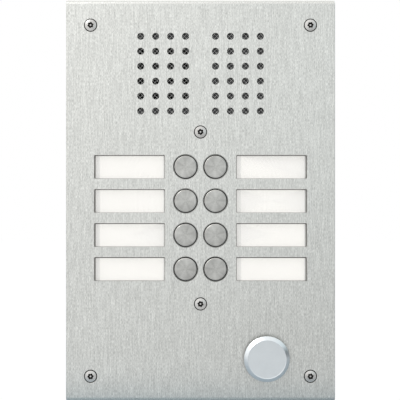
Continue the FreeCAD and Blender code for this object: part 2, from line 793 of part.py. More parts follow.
def keypad_mat():
    """Silicone mat on the button board, with a dome that brings each button back."""
    width, height = mat_size()
    sheet = slab(0, module_z, width, height, mat_front_y, button_board_y)
    holes = [rod(x, z, dome_radius - dome_wall / 2, mat_front_y, button_board_y)
             for x, z in button_centres]
    return joined([sheet.cut(holes)] + [keypad_dome(x, z) for x, z in button_centres])


def board_boss_places():
    return [(x, module_z + z) for x, z in four_corners(board_boss_x, board_boss_z)]


def button_carrier():
    """Moulding that holds windows, cards, diffusers and buttons, and carries the button board."""
    outer = slab(0, module_z, carrier_width, carrier_height, plate_back_y, carrier_back_y,
                 carrier_corner_radius)
    hollow = slab(0, module_z, carrier_width - 2 * carrier_wall, carrier_height - 2 * carrier_wall,
                  carrier_floor_y, carrier_back_y, carrier_corner_radius - carrier_wall)
    added = [outer.cut(hollow)]
    for x, z in button_centres:
        guide_back_y = plate_back_y + well_depth + guide_length
        added.append(rod(x, z, button_stem_radius + guide_wall, carrier_floor_y, guide_back_y))
    for x, z in window_centres:
        added.append(tapered_block(x, z, grown(light_well_front, carrier_rib),
                                   grown(light_well_back, carrier_rib), carrier_floor_y, carrier_back_y))
    for x, z in board_boss_places():
        added.append(rod(x, z, boss_radius, carrier_floor_y, carrier_back_y))
    screw_boss_back_y = carrier_back_y - screw_boss_relief
    for side in (-1, 1):
        added.append(rod(0, module_z + side * module_screw_offset, screw_boss_radius,
                         carrier_floor_y, screw_boss_back_y))
    inner_width = carrier_width - 2 * carrier_wall
    rib_x = window_x - light_well_front[0] / 2 - 2 * carrier_rib
    for side in (-1, 1):
        added.append(slab(side * rib_x, module_z, carrier_rib, carrier_height - 2 * carrier_wall,
                          carrier_floor_y, carrier_back_y))
    for row in range(row_count - 1):
        z = (row_z[row] + row_z[row + 1]) / 2
        added.append(slab(0, z, inner_width, carrier_rib, carrier_floor_y, carrier_back_y))
    cuts = []
    for x, z in button_centres:
        cuts.append(rod(x, z, well_radius, plate_back_y, plate_back_y + well_depth))
        cuts.append(rod(x, z, button_stem_radius + running_gap, plate_back_y, carrier_back_y))
    for x, z in window_centres:
        cuts.append(slab(x, z, pocket_width, pocket_height, plate_back_y, plate_back_y + pocket_depth))
        cuts.append(tapered_block(x, z, light_well_front, light_well_back,
                                  plate_back_y + pocket_depth, carrier_back_y))
    width, height = grown(mat_size(), mat_gap)
    cuts.append(slab(0, module_z, width, height, mat_front_y, carrier_back_y))
    for x, z in board_boss_places():
        cuts.append(rod(x, z, board_screw_radius + thread_gap, carrier_floor_y, carrier_back_y))
    for side in (-1, 1):
        cuts.append(rod(0, module_z + side * module_screw_offset, screw_radius + thread_gap,
                        plate_back_y, screw_boss_back_y))
    return joined(added).cut(Part.makeCompound(cuts))


def button_board():
    board = slab(0, module_z, carrier_width - 2 * board_edge_gap, carrier_height - 2 * board_edge_gap,
                 button_board_y, button_board_y + board_thickness)
    holes = [rod(x, z, board_screw_radius + loose_gap, button_board_y, button_board_y + board_thickness)
             for x, z in board_boss_places()]
    return board.cut(holes)


def backlight_led(x, z):
    return slab(x, z, led_size, led_size, button_board_y - led_height, button_board_y)


# ---- light button ------------------------------------------------------------------------------
def light_button():
    """Mushroom cap with a bevelled face, its stem grooved for the retaining clip."""
    groove = light_stem_radius - clip_groove
    outline = [(0, light_cap_front_y), (light_face_radius, light_cap_front_y),
               (light_cap_radius, light_cap_front_y + light_cap_bevel),
               (light_cap_radius, light_cap_back_y), (light_stem_radius, light_cap_back_y),
               (light_stem_radius, clip_front_y - seat_gap), (groove, clip_front_y - seat_gap),
               (groove, clip_back_y + seat_gap), (light_stem_radius, clip_back_y + seat_gap),
               (light_stem_radius, light_stem_end_y), (0, light_stem_end_y)]
    return turned(light_x, light_z, outline)


def light_button_clip():
    """Open retaining ring, pushed on from below."""
    groove = light_stem_radius - clip_groove + seat_gap
    whole = ring(light_x, light_z, clip_radius, groove, clip_front_y, clip_back_y)
    mouth = slab(light_x, light_z - clip_radius, clip_mouth, 2 * clip_radius, clip_front_y,
                 clip_back_y)
    return whole.cut(mouth)


def light_button_housing():
    """Threaded barrel with a front flange, a spring pocket and a guide for the stem."""
    outline = [(spring_pocket_radius, housing_front_y), (housing_flange_radius - edge_break, housing_front_y),
               (housing_flange_radius, housing_front_y + edge_break),
               (housing_flange_radius, plate_front_y - light_seal_thickness),
               (housing_radius, plate_front_y - light_seal_thickness),
               (housing_radius, housing_back_y), (light_stem_radius + running_gap, housing_back_y),
               (light_stem_radius + running_gap, spring_floor_y), (spring_pocket_radius, spring_floor_y)]
    return turned(light_x, light_z, outline)


def light_button_seal():
    return ring(light_x, light_z, housing_flange_radius, housing_radius + thread_gap,
                plate_front_y - light_seal_thickness, plate_front_y)


def light_button_washer():
    """Lock washer behind the plate, its rim notched into teeth."""
    back_y = plate_back_y + light_washer_thickness
    outer = housing_flange_radius + light_washer_rim
    washer = ring(light_x, light_z, outer, housing_radius + thread_gap, plate_back_y, back_y)
    notches = []
    for tooth in range(light_washer_teeth):
        notch = slab(outer, 0, light_washer_notch, light_washer_notch, plate_back_y, back_y)
        notch.rotate(FreeCAD.Vector(0, 0, 0), FreeCAD.Vector(0, 1, 0), 360 / light_washer_teeth * tooth)
        notch.translate(FreeCAD.Vector(light_x, 0, light_z))
        notches.append(notch)
    return washer.cut(notches)


def light_button_nut():
    front_y = plate_back_y + light_washer_thickness
    back_y = front_y + housing_nut_height
    nut = prism(light_x, light_z, hexagon(housing_nut_width), front_y, back_y)
    return nut.cut(rod(light_x, light_z, housing_radius + thread_gap, front_y, back_y))


def light_button_spring():
    """Coil spring between the cap and the floor of the pocket."""
    length = spring_floor_y - light_cap_back_y - light_spring_wire - 2 * seat_gap
    helix = Part.makeHelix(length / light_spring_turns, length, light_spring_radius)
    start = FreeCAD.Vector(light_spring_radius, 0, 0)
    half = light_spring_wire / 2
    corners = [(-half, -half), (half, -half), (half, half), (-half, half)]
    points = [start + FreeCAD.Vector(dx, 0, dz) for dx, dz in corners]
    coil = Part.Wire(helix).makePipeShell([Part.makePolygon(points + points[:1])], True, True)
    coil.rotate(FreeCAD.Vector(0, 0, 0), FreeCAD.Vector(1, 0, 0), -90)
    coil.translate(FreeCAD.Vector(light_x, light_cap_back_y + seat_gap + half, light_z))
    return coil


def switch_blade_end():
    """Where the switch's lead starts, as (y, z)."""
    return switch_back_y - switch_depth / 2, light_z + switch_size / 2 + blade_length


def light_switch():
    """Contact block clipped over the back of the barrel, with the plunger's bore in its floor."""
    front_y = housing_back_y - switch_skirt_length
    block = slab(light_x, light_z, switch_size, switch_size, front_y, switch_back_y,
                 switch_corner_radius)
    barrel = rod(light_x, light_z, housing_radius + seat_gap, front_y, housing_back_y)
    room = rod(light_x, light_z, clip_radius + switch_room, housing_back_y, switch_cavity_back_y)
    bore = rod(light_x, light_z, light_stem_radius / 2 + running_gap, switch_cavity_back_y,
               plunger_back_y + light_travel + switch_gap)
    blade_y, blade_z = switch_blade_end()
    blades = [slab(light_x + side * blade_width, blade_z - blade_length / 2, blade_width, blade_length,
                   blade_y - blade_thickness / 2, blade_y + blade_thickness / 2) for side in (-1, 1)]
    bridge = slab(light_x, blade_z - blade_length / 2, 3 * blade_width, blade_length,
                  blade_y - lead_radius, blade_y + lead_radius)
    return joined([block.cut([barrel, room, bore]), bridge] + blades)


def switch_plunger():
    """The switch's own pin, which its spring keeps against the end of the button's stem."""
    return rod(light_x, light_z, light_stem_radius / 2, light_stem_end_y, plunger_back_y)


# ---- electronics in the box --------------------------------------------------------------------
def pillar_places():
    x = main_board_width / 2 - pillar_inset
    z = main_board_height / 2 - pillar_inset
    return [(dx, main_board_z + dz) for dx, dz in four_corners(x, z)]


def main_board():
    board = slab(0, main_board_z, main_board_width, main_board_height, main_board_front_y,
                 main_board_back_y)
    holes = [rod(x, z, board_screw_radius + loose_gap, main_board_front_y, main_board_back_y)
             for x, z in pillar_places()]
    return board.cut(holes)


def board_pillar(x, z):
    post = prism(x, z, hexagon(pillar_width), main_board_back_y, -box_wall)
    return post.cut(rod(x, z, board_screw_radius + thread_gap, main_board_back_y,
                        main_board_back_y + board_screw_length))


def terminal_entry(way):
    """The mouth of one wire entry, as (x, y, z)."""
    width = terminal_ways * terminal_pitch
    left = -width - terminal_pitch
    z = main_board_z - main_board_height / 2 + 1
    return left + (way + 0.5) * terminal_pitch, main_board_front_y - terminal_depth / 2, z


def terminal_block():
    """Row of screw terminals along the main board's lower edge."""
    front_y = main_board_front_y - terminal_depth
    first_x, entry_y, low_z = terminal_entry(0)
    last_x = terminal_entry(terminal_ways - 1)[0]
    width = last_x - first_x + terminal_pitch
    block = slab((first_x + last_x) / 2, low_z + terminal_height / 2, width, terminal_height, front_y,
                 main_board_front_y)
    cuts = []
    for way in range(terminal_ways):
        x, y, z = terminal_entry(way)
        cuts.append(slab(x, z + 1, terminal_mouth, terminal_mouth_height, y - terminal_mouth / 2,
                         y + terminal_mouth / 2))
        cuts.append(slab(x, z + terminal_height / 2 + 0.5, terminal_mouth, terminal_mouth, front_y,
                         front_y + terminal_screw_depth))
    return block.cut(cuts)


def capacitor(x):
    z = main_board_z + main_board_height / 2 - capacitor_radius - capacitor_edge_gap
    return rod(x, z, capacitor_radius, main_board_front_y - capacitor_length, main_board_front_y)


def volume_trimmer(level):
    """Square trimmer with a cross-slotted rotor."""
    x = main_board_width / 2 - trimmer_size
    z = main_board_z - main_board_height / 4 + level * 1.4 * trimmer_size
    front_y = main_board_front_y - trimmer_depth
    body = slab(x, z, trimmer_size, trimmer_size, front_y, main_board_front_y)
    rotor = rod(x, z, 0.3 * trimmer_size, front_y - trimmer_rotor_rise, front_y)
    slot = slab(x, z, 0.1 * trimmer_size, 0.5 * trimmer_size, front_y - trimmer_rotor_rise, front_y)
    return joined([body, rotor]).cut(slot)


def door_relay():
    """Relay that releases the door's lock."""
    x = main_board_width / 2 - relay_width / 2 - relay_edge_gap
    z = main_board_z + main_board_height / 2 - relay_height / 2 - 2 * pillar_inset
    return slab(x, z, relay_width, relay_height, main_board_front_y - relay_depth, main_board_front_y,
                relay_corner_radius)


def amplifier_chip():
    """Speech amplifier with its two rows of legs."""
    x = main_board_width / 8
    z = main_board_z + main_board_height / 8
    legs = []
    body_back_y = main_board_front_y - chip_stand
    for side in (-1, 1):
        for leg in range(chip_legs):
            leg_x = x + (leg - (chip_legs - 1) / 2) * chip_leg_pitch
            leg_z = z + side * (chip_height + chip_leg_reach) / 2
            legs.append(slab(leg_x, leg_z, chip_leg_width, chip_leg_reach,
                             main_board_front_y - chip_depth / 2, main_board_front_y))
    body = slab(x, z, chip_width, chip_height, main_board_front_y - chip_depth, body_back_y)
    return joined([body] + legs)


def ribbon_ends():
    """Where the ribbon cable leaves each header, as (y, z)."""
    lower_y = button_board_y + board_thickness + header_depth / 2
    lower_z = module_z + carrier_height / 2 - board_edge_gap - 1
    upper_y = main_board_front_y - header_depth / 2
    upper_z = main_board_z - main_board_height / 2 + ribbon_header_inset
    return (lower_y, lower_z), (upper_y, upper_z)


def ribbon_headers():
    (lower_y, lower_z), (upper_y, upper_z) = ribbon_ends()
    lower = slab(ribbon_x, lower_z - header_height / 2, header_width, header_height,
                 lower_y - header_depth / 2, lower_y + header_depth / 2)
    upper = slab(ribbon_x, upper_z + header_height / 2, header_width, header_height,
                 upper_y - header_depth / 2, upper_y + header_depth / 2)
    return [lower, upper]


def ribbon_cable():
    """Flat cable from the button board to the main board: straight runs joined by round bends."""
    (lower_y, lower_z), (upper_y, upper_z) = ribbon_ends()
    lead = (upper_z - lower_z) * 0.3
    path = bent_path([(ribbon_x, lower_y, lower_z), (ribbon_x, lower_y, lower_z + lead),
                      (ribbon_x, upper_y, upper_z - lead), (ribbon_x, upper_y, upper_z)])
    half_width = ribbon_width / 2
    half_thickness = ribbon_thickness / 2
    corners = [(-half_width, -half_thickness), (half_width, -half_thickness),
               (half_width, half_thickness), (-half_width, half_thickness)]
    section = [FreeCAD.Vector(ribbon_x + dx, lower_y + dy, lower_z) for dx, dy in corners]
    return path.makePipeShell([Part.makePolygon(section + section[:1])], True, True)


def lead(points):
    """A round two-core lead along straight runs and arcs."""
    path = bent_path(points)
    start = FreeCAD.Vector(*points[0])
    direction = FreeCAD.Vector(*points[1]) - start
    section = Part.Wire(Part.makeCircle(lead_radius, start, direction))
    return path.makePipeShell([section], True, True)


def wiring_loom():
    """The leads of the loudspeaker, the microphone and the light button's switch."""
    tag_x = -grille_x + 3 * speaker_tag_width / 8
    tag_y = magnet_back_y + speaker_tag_thickness / 2 + lead_radius
    speaker_lead = lead([(tag_x, tag_y, audio_z), (tag_x + speaker_lead_side, tag_y, audio_z),
                         (tag_x + speaker_lead_side, main_board_front_y, audio_z)])
    boot_back_y = boot_front_y() + boot_length
    middle_y = (boot_back_y + main_board_front_y) / 2
    raised_z = audio_z + microphone_lead_step
    microphone_lead = lead([(grille_x, boot_back_y, audio_z),
                            (grille_x, middle_y - microphone_lead_bend, audio_z),
                            (grille_x, middle_y + microphone_lead_bend, raised_z),
                            (grille_x, main_board_front_y, raised_z)])
    switch_y, switch_z = switch_blade_end()
    terminal_x, terminal_y, terminal_z = terminal_entry(terminal_ways - 1)
    rise = terminal_z - switch_z
    switch_lead = lead([(light_x, switch_y, switch_z), (light_x, switch_y, switch_z + 0.12 * rise),
                        (light_x - switch_lead_side, terminal_y, switch_z + 0.35 * rise),
                        (terminal_x + switch_lead_side, terminal_y, switch_z + 0.65 * rise),
                        (terminal_x, terminal_y, switch_z + 0.87 * rise),
                        (terminal_x, terminal_y, terminal_z)])
    return [speaker_lead, microphone_lead, switch_lead]


# ---- the nodes ---------------------------------------------------------------------------------
def all_nodes():
    """Every sub-part's name with its solid, or the solids of a group of identical ones."""
    module_screw_places = [(0, module_z + side * module_screw_offset) for side in (-1, 1)]
    nodes = {
        "face_plate": [face_plate()],
        "plate_gasket": [plate_gasket()],
        "back_box": [back_box()],
        "corner_lugs": [corner_lug(side, level) for side, level in four_corners(1, 1)],
        "cable_grommet": [cable_grommet()],
        "corner_screws": [countersunk_screw(x, z, corner_screw_length)
                          for x, z in four_corners(screw_x, screw_z)],
        "module_screws": [countersunk_screw(x, z, module_screw_length) for x, z in module_screw_places],
        "grille_meshes": [grille_mesh(side) for side in (-1, 1)],
        "weld_studs": [weld_stud(x, z) for x, z in stud_places()],
        "stud_nuts": [stud_nut(x, z) for x, z in stud_places()],
        "audio_chassis": [audio_chassis()],
        "speaker_gasket": [speaker_gasket()],
        "speaker_cone": [speaker_cone()],
        "speaker_basket": [speaker_basket()],
        "speaker_magnet": [speaker_magnet()],
        "speaker_terminals": [speaker_terminals()],
        "microphone_boot": [microphone_boot()],
        "microphone_capsule": [microphone_capsule()],
        "button_carrier": [button_carrier()],
        "name_cards": [name_card(x, z) for x, z in window_centres],
        "light_diffusers": [light_diffuser(x, z) for x, z in window_centres],
        "keypad_mat": [keypad_mat()],
        "button_board": [button_board()],
        "backlight_leds": [backlight_led(x + side * led_spacing / 2, z)
                           for x, z in window_centres for side in (-1, 1)],
        "board_screws": [board_screw(x, z, button_board_y + board_thickness)
                         for x, z in board_boss_places()]
                        + [pillar_screw(x, z, main_board_front_y) for x, z in pillar_places()],
        "light_button": [light_button()],
        "light_button_clip": [light_button_clip()],
        "light_button_housing": [light_button_housing()],
        "light_button_seal": [light_button_seal()],
        "light_button_washer": [light_button_washer()],
        "light_button_nut": [light_button_nut()],
        "light_button_spring": [light_button_spring()],
        "light_switch": [light_switch()],
        "switch_plunger": [switch_plunger()],
        "main_board": [main_board()],
        "board_pillars": [board_pillar(x, z) for x, z in pillar_places()],
        "terminal_block": [terminal_block()],
        "capacitors": [capacitor(capacitor_first_x + capacitor_pitch * place)
                       for place in range(capacitor_count)],
        "volume_trimmers": [volume_trimmer(level) for level in (0, 1)],
        "door_relay": [door_relay()],
        "amplifier_chip": [amplifier_chip()],
        "ribbon_headers": ribbon_headers(),
        "ribbon_cable": [ribbon_cable()],
        "wiring_loom": wiring_loom(),
    }
    for number, (x, z) in enumerate(window_centres, start=1):
        nodes[f"name_window_{number}"] = [name_window(x, z)]
    for number, (x, z) in enumerate(button_centres, start=1):
        nodes[f"call_button_{number}"] = [call_button(x, z)]
    return nodes


def main():
    os.makedirs("parts", exist_ok=True)
    for name, solids in all_nodes().items():
        shape = solids[0] if len(solids) == 1 else Part.makeCompound(solids)
        shape.exportStep(f"parts/{name}.step")


main()
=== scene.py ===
"""Looks of a door intercom panel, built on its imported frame.

Each sub-assembly is a class that builds the meshes it replaces and dresses the frame's own pieces.
Lengths are metres. +Z is up and the front faces -Y.
"""
import json
import logging
import math
from dataclasses import dataclass, field
from enum import Enum
from typing import Callable, Collection, Self, Sequence

import bmesh
import bpy
from mathutils import Matrix, Vector

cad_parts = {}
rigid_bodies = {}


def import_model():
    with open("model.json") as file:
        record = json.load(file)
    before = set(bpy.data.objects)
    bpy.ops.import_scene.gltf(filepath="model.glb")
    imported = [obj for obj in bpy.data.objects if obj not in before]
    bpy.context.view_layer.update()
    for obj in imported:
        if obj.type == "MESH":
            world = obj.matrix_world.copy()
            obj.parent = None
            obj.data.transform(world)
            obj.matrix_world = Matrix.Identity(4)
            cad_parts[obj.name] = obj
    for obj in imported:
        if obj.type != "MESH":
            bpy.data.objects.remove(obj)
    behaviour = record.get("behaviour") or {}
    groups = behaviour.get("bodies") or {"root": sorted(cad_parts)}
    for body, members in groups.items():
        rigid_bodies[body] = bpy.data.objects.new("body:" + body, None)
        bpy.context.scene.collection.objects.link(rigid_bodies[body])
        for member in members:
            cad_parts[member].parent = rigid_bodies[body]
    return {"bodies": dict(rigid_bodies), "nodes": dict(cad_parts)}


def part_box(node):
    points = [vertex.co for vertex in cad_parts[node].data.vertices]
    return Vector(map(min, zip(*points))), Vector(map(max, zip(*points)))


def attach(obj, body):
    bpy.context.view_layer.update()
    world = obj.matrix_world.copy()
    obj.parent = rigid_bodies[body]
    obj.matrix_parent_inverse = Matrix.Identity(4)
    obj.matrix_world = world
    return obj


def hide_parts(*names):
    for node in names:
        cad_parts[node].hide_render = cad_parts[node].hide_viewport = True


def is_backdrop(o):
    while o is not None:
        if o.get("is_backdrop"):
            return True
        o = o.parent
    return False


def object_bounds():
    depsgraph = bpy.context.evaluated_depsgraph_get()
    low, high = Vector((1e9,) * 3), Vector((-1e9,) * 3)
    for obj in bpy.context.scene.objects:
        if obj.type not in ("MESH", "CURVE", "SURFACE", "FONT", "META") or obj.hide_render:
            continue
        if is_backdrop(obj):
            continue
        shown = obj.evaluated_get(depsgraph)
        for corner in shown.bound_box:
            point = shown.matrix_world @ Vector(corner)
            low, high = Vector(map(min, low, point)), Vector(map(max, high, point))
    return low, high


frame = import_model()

LOG = logging.getLogger("intercom_panel")
MM = 0.001
PANEL = "panel"
HAIR = 0.005 * MM             # how near two places count as one
UPRIGHT = (math.radians(90), 0.0, 0.0)
WHITE = (1.0, 1.0, 1.0, 1.0)

Colour = tuple[float, float, float]
Outline = Sequence[tuple[float, float]]
Socket = bpy.types.NodeSocket
Tree = bpy.types.NodeTree
Piece = bpy.types.Object
Form = bmesh.types.BMesh
Ring = list[bmesh.types.BMVert]
ToneAndHeight = tuple[Socket, Socket]


# ---- node trees ----------------------------------------------------------------------------------
class TreeBuilder:
    """Adds and links the nodes of one tree, with named inputs and outputs."""

    def __init__(self, tree: Tree) -> None:
        """Keep the tree that the nodes go into."""
        self.tree = tree

    @classmethod
    def group(cls, name: str, kind: str) -> Self:
        """Start a new node group.

        Args:
            name: The group's name.
            kind: The tree type, such as ShaderNodeTree.

        Returns:
            A builder that holds the group, with its Group Input and Group Output nodes.
        """
        builder = cls(bpy.data.node_groups.new(name, kind))
        builder.entry = builder.tree.nodes.new("NodeGroupInput")
        builder.exit = builder.tree.nodes.new("NodeGroupOutput")
        return builder

    @classmethod
    def cleared(cls, owner: bpy.types.Material | bpy.types.World) -> Self:
        """Start on a material's or a world's own tree.

        Args:
            owner: What the tree belongs to; its old nodes are removed.

        Returns:
            A builder that holds the empty tree.
        """
        owner.use_nodes = True
        owner.node_tree.nodes.clear()
        return cls(owner.node_tree)

    def takes(self, name: str, kind: str = "NodeSocketFloat") -> Socket:
        """Add a named input to the group and return its socket on the Group Input node."""
        self.tree.interface.new_socket(name, in_out="INPUT", socket_type=kind)
        return self.entry.outputs[name]

    def gives(self, name: str, value: Socket, kind: str = "NodeSocketFloat") -> None:
        """Add a named output to the group and link a value to it."""
        self.tree.interface.new_socket(name, in_out="OUTPUT", socket_type=kind)
        self.tree.links.new(value, self.exit.inputs[name])

    def node(self, kind: str, inputs: dict | None = None, **settings: object) -> bpy.types.Node:
        """Add one node.

        Args:
            kind: The node's type name.
            inputs: Values or sockets for its inputs, by name or number.
            settings: Properties set on the node before its inputs.

        Returns:
            The new node.
        """
        made = self.tree.nodes.new(kind)
        for name, value in settings.items():
            setattr(made, name, value)
        for key, value in (inputs or {}).items():
            self.feed(made.inputs[key], value)
        return made

    def feed(self, socket: Socket, value: object) -> None:
        """Link a socket to another, or set its value.

        Args:
            socket: The input that is fed.
            value: A socket or a plain value.
        """
        if isinstance(value, Socket):
            self.tree.links.new(value, socket)
        else:
            socket.default_value = value

    def first(self, kind: str, inputs: dict | None = None, **settings: object) -> Socket:
        """First output of a new node."""
        return self.node(kind, inputs, **settings).outputs[0]

    def maths(self, operation: str, *values: object) -> Socket:
        """Result of one Math node over the given values or sockets."""
        return self.first("ShaderNodeMath", dict(enumerate(values)), operation=operation)

    def times(self, first: object, second: object) -> Socket:
        """Product of two values or sockets."""
        return self.maths("MULTIPLY", first, second)

    def plus(self, first: object, second: object) -> Socket:
        """Sum of two values or sockets."""
        return self.maths("ADD", first, second)

    def minus(self, first: object, second: object) -> Socket:
        """Difference of two values or sockets."""
        return self.maths("SUBTRACT", first, second)

    def shared(self, first: Socket, first_share: float, second: Socket, second_share: float) -> Socket:
        """Sum of two sockets, each with its own share."""
        return self.plus(self.times(first, first_share), self.times(second, second_share))

    def vectors(self, operation: str, *values: object) -> Socket:
        """Result of one Vector Math node: a value for a length or a dot product, or else a vector."""
        made = self.node("ShaderNodeVectorMath", dict(enumerate(values)), operation=operation)
        return made.outputs["Value" if operation in ("LENGTH", "DOT_PRODUCT") else "Vector"]

    def noise(self, vector: Socket, scale: object, detail: float = 2.0, rough: float = 0.5) -> Socket:
        """Noise value over a vector, from 0 to 1."""
        inputs = {"Vector": vector, "Scale": scale, "Detail": detail, "Roughness": rough}
        return self.first("ShaderNodeTexNoise", inputs)

    def stretched(self, vector: Socket, scale: Sequence[float]) -> Socket:
        """The vector scaled along each axis."""
        return self.first("ShaderNodeMapping", {"Vector": vector, "Scale": scale})

    def ranged(self, value: Socket, source: tuple[float, float], target: tuple[float, float]) -> Socket:
        """The value moved from one range into another, clamped."""
        limits = zip(("From Min", "From Max", "To Min", "To Max"), (*source, *target))
        return self.first("ShaderNodeMapRange", {"Value": value, **dict(limits)})

    def blended(self, amount: object, first: object, second: object) -> Socket:
        """Colour between two colours."""
        made = self.node("ShaderNodeMix", {0: amount, 6: first, 7: second}, data_type="RGBA")
        return made.outputs[2]

    def exit_dressed(self, geometry: Socket, finish: Socket) -> None:
        """End a geometry tree in Realize Instances and Set Material.

        Args:
            geometry: What the tree has made.
            finish: The material; faces with a template's second material keep it.
        """
        real = self.first("GeometryNodeRealizeInstances", {0: geometry})
        index = self.first("GeometryNodeInputMaterialIndex")
        main_faces = self.first("FunctionNodeCompare", {2: index, 3: 0}, data_type="INT", operation="EQUAL")
        dressed = self.first("GeometryNodeSetMaterial", {"Geometry": real, "Selection": main_faces,
                                                         "Material": finish})
        self.gives("Geometry", dressed, "NodeSocketGeometry")


# ---- surface patterns ----------------------------------------------------------------------------
class Pattern(Enum):
    """What a finish's surface is like close up."""

    BRUSHED = "brushed_grain"
    # The turned pattern holds real lathe rings and painted wedges of highlight and shade.
    TURNED = "turned_rings"
    SPANGLED = "zinc_spangle"
    MOULDED = "moulded_texture"
    ROLLED = "rolled_sheet"
    FIBRE = "paper_fibre"


class PatternTree(TreeBuilder):
    """A shader group for one pattern. Its Vector is a place and its Scale is in marks per metre."""

    def build(self, pattern: Pattern) -> Tree:
        """Add the inputs, the pattern's own nodes and the outputs.

        Args:
            pattern: Which pattern it is.

        Returns:
            A shader group with Vector and Scale inputs and Tone and Height outputs.
        """
        self.vector = self.takes("Vector", "NodeSocketVector")
        self.scale = self.takes("Scale")
        tone, height = PATTERN_MAKERS[pattern](self)
        self.gives("Tone", tone)
        self.gives("Height", height)
        return self.tree

    def brushed(self) -> ToneAndHeight:
        """Upright scratches of many lengths: fine lines over broader bands.

        Returns:
            The tone and the height, each from 0 to 1.
        """
        fine = self.noise(self.stretched(self.vector, (1.0, 1.0, 0.13)), self.scale, 3.0, 0.65)
        broad = self.noise(self.stretched(self.vector, (0.6, 0.6, 0.02)), self.scale, 2.0)
        return self.ranged(self.shared(fine, 0.72, broad, 0.28), (0.38, 0.62), (0.0, 1.0)), fine

    def turned(self) -> ToneAndHeight:
        """Rings left by a lathe tool, uneven along their length, under soft wedges of painted highlight and
        shade that stand in for the bow-tie reflection of a turned face.

        Returns:
            The tone and the height, each from 0 to 1.
        """
        reach = self.vectors("LENGTH", self.vector)
        drift = self.noise(self.vector, self.times(self.scale, 0.12), 1.0)
        place = self.plus(self.times(reach, self.scale), drift)
        rings = self.first("ShaderNodeTexNoise", {"W": place, "Scale": 1.0, "Detail": 2.0},
                           noise_dimensions="1D")
        # Painted highlight and shade: tone that changes with the direction from the centre, in place of the
        # turned face's bow-tie reflection.
        outward = self.vectors("MULTIPLY", self.vector, (90.0, 90.0, 90.0))
        swept = self.vectors("ADD", self.vectors("NORMALIZE", self.vector), outward)
        painted_sheen_wedges = self.noise(swept, 1.0, 1.0)
        return self.ranged(self.shared(rings, 0.4, painted_sheen_wedges, 0.6), (0.2, 0.8), (0.0, 1.0)), rings

    def spangled(self) -> ToneAndHeight:
        """Zinc crystals, each its own tone, with feathery insides.

        Returns:
            The tone and the height, each from 0 to 1.
        """
        bend = self.node("ShaderNodeTexNoise", {"Vector": self.vector, "Scale": self.scale, "Detail": 2.0})
        shifted = self.vectors("MULTIPLY", bend.outputs["Color"], (0.004, 0.004, 0.004))
        warped = self.vectors("ADD", self.vector, shifted)
        cells = self.node("ShaderNodeTexVoronoi", {"Vector": warped, "Scale": self.scale})
        parts = self.node("ShaderNodeSeparateColor", {0: cells.outputs["Color"]})
        feather = self.noise(warped, self.times(self.scale, 7.0), 3.0, 0.6)
        return self.shared(parts.outputs[0], 0.65, feather, 0.35), feather

    def moulded(self) -> ToneAndHeight:
        """Spark-eroded mould texture with slow changes of tone.

        Returns:
            The tone and the height, each from 0 to 1.
        """
        grains = self.noise(self.vector, self.scale, 2.0, 0.7)
        slow = self.noise(self.vector, self.times(self.scale, 0.03), 2.0)
        return self.shared(grains, 0.35, slow, 0.65), grains

    def rolled(self) -> ToneAndHeight:
        """Cold-rolled or plated metal: soft clouds with fine handling marks.

        Returns:
            The tone and the height, each from 0 to 1.
        """
        clouds = self.noise(self.vector, self.times(self.scale, 0.1), 3.0)
        marks = self.noise(self.stretched(self.vector, (1.0, 0.3, 0.08)), self.scale, 3.0, 0.65)
        return self.shared(clouds, 0.6, marks, 0.4), marks

    def fibre(self) -> ToneAndHeight:
        """Paper and card: short crossed fibres.

        Returns:
            The tone and the height, each from 0 to 1.
        """
        across = self.noise(self.stretched(self.vector, (0.25, 1.0, 1.0)), self.scale, 2.0)
        upright = self.noise(self.stretched(self.vector, (1.0, 1.0, 0.25)), self.scale, 2.0)
        return self.times(self.plus(across, upright), 0.5), across


PATTERN_MAKERS: dict[Pattern, Callable[[PatternTree], ToneAndHeight]] = {
    Pattern.BRUSHED: PatternTree.brushed,
    Pattern.TURNED: PatternTree.turned,
    Pattern.SPANGLED: PatternTree.spangled,
    Pattern.MOULDED: PatternTree.moulded,
    Pattern.ROLLED: PatternTree.rolled,
    Pattern.FIBRE: PatternTree.fibre,
}


def pattern_group(pattern: Pattern) -> Tree:
    """The node group of one pattern, built the first time it is asked for."""
    ready = bpy.data.node_groups.get(pattern.value)
    return ready or PatternTree.group(pattern.value, "ShaderNodeTree").build(pattern)


def handling_group() -> Tree:
    """The node group of smudges and dust that every finish shares.

    Returns:
        A shader group with a Vector input and Smudge and Dust outputs.
    """
    ready = bpy.data.node_groups.get("handling_marks")
    if ready:
        return ready
    builder = TreeBuilder.group("handling_marks", "ShaderNodeTree")
    vector = builder.takes("Vector", "NodeSocketVector")
    smudge = builder.ranged(builder.noise(vector, 22.0, 4.0, 0.6), (0.42, 0.75), (0.0, 1.0))
    dust = builder.ranged(builder.noise(vector, 900.0, 2.0, 0.7), (0.66, 0.8), (0.0, 1.0))
    builder.gives("Smudge", smudge)
    builder.gives("Dust", dust)
    return builder.tree


# ---- finishes ------------------------------------------------------------------------------------
TURNED_MAP = "turned_face"
TURNED_SPAN = 0.05            # metres across the whole of a turned face's UV map
DUST_COLOUR = (0.55, 0.53, 0.5, 1.0)
# Colour of painted glow: emission on surfaces that are no lamps.
PAINTED_GLOW_COLOUR = (1.0, 0.985, 0.95, 1.0)
SMUDGE_ROUGHNESS = 0.05       # what a smudge adds to the roughness
COAT_ROUGHNESS = 0.12


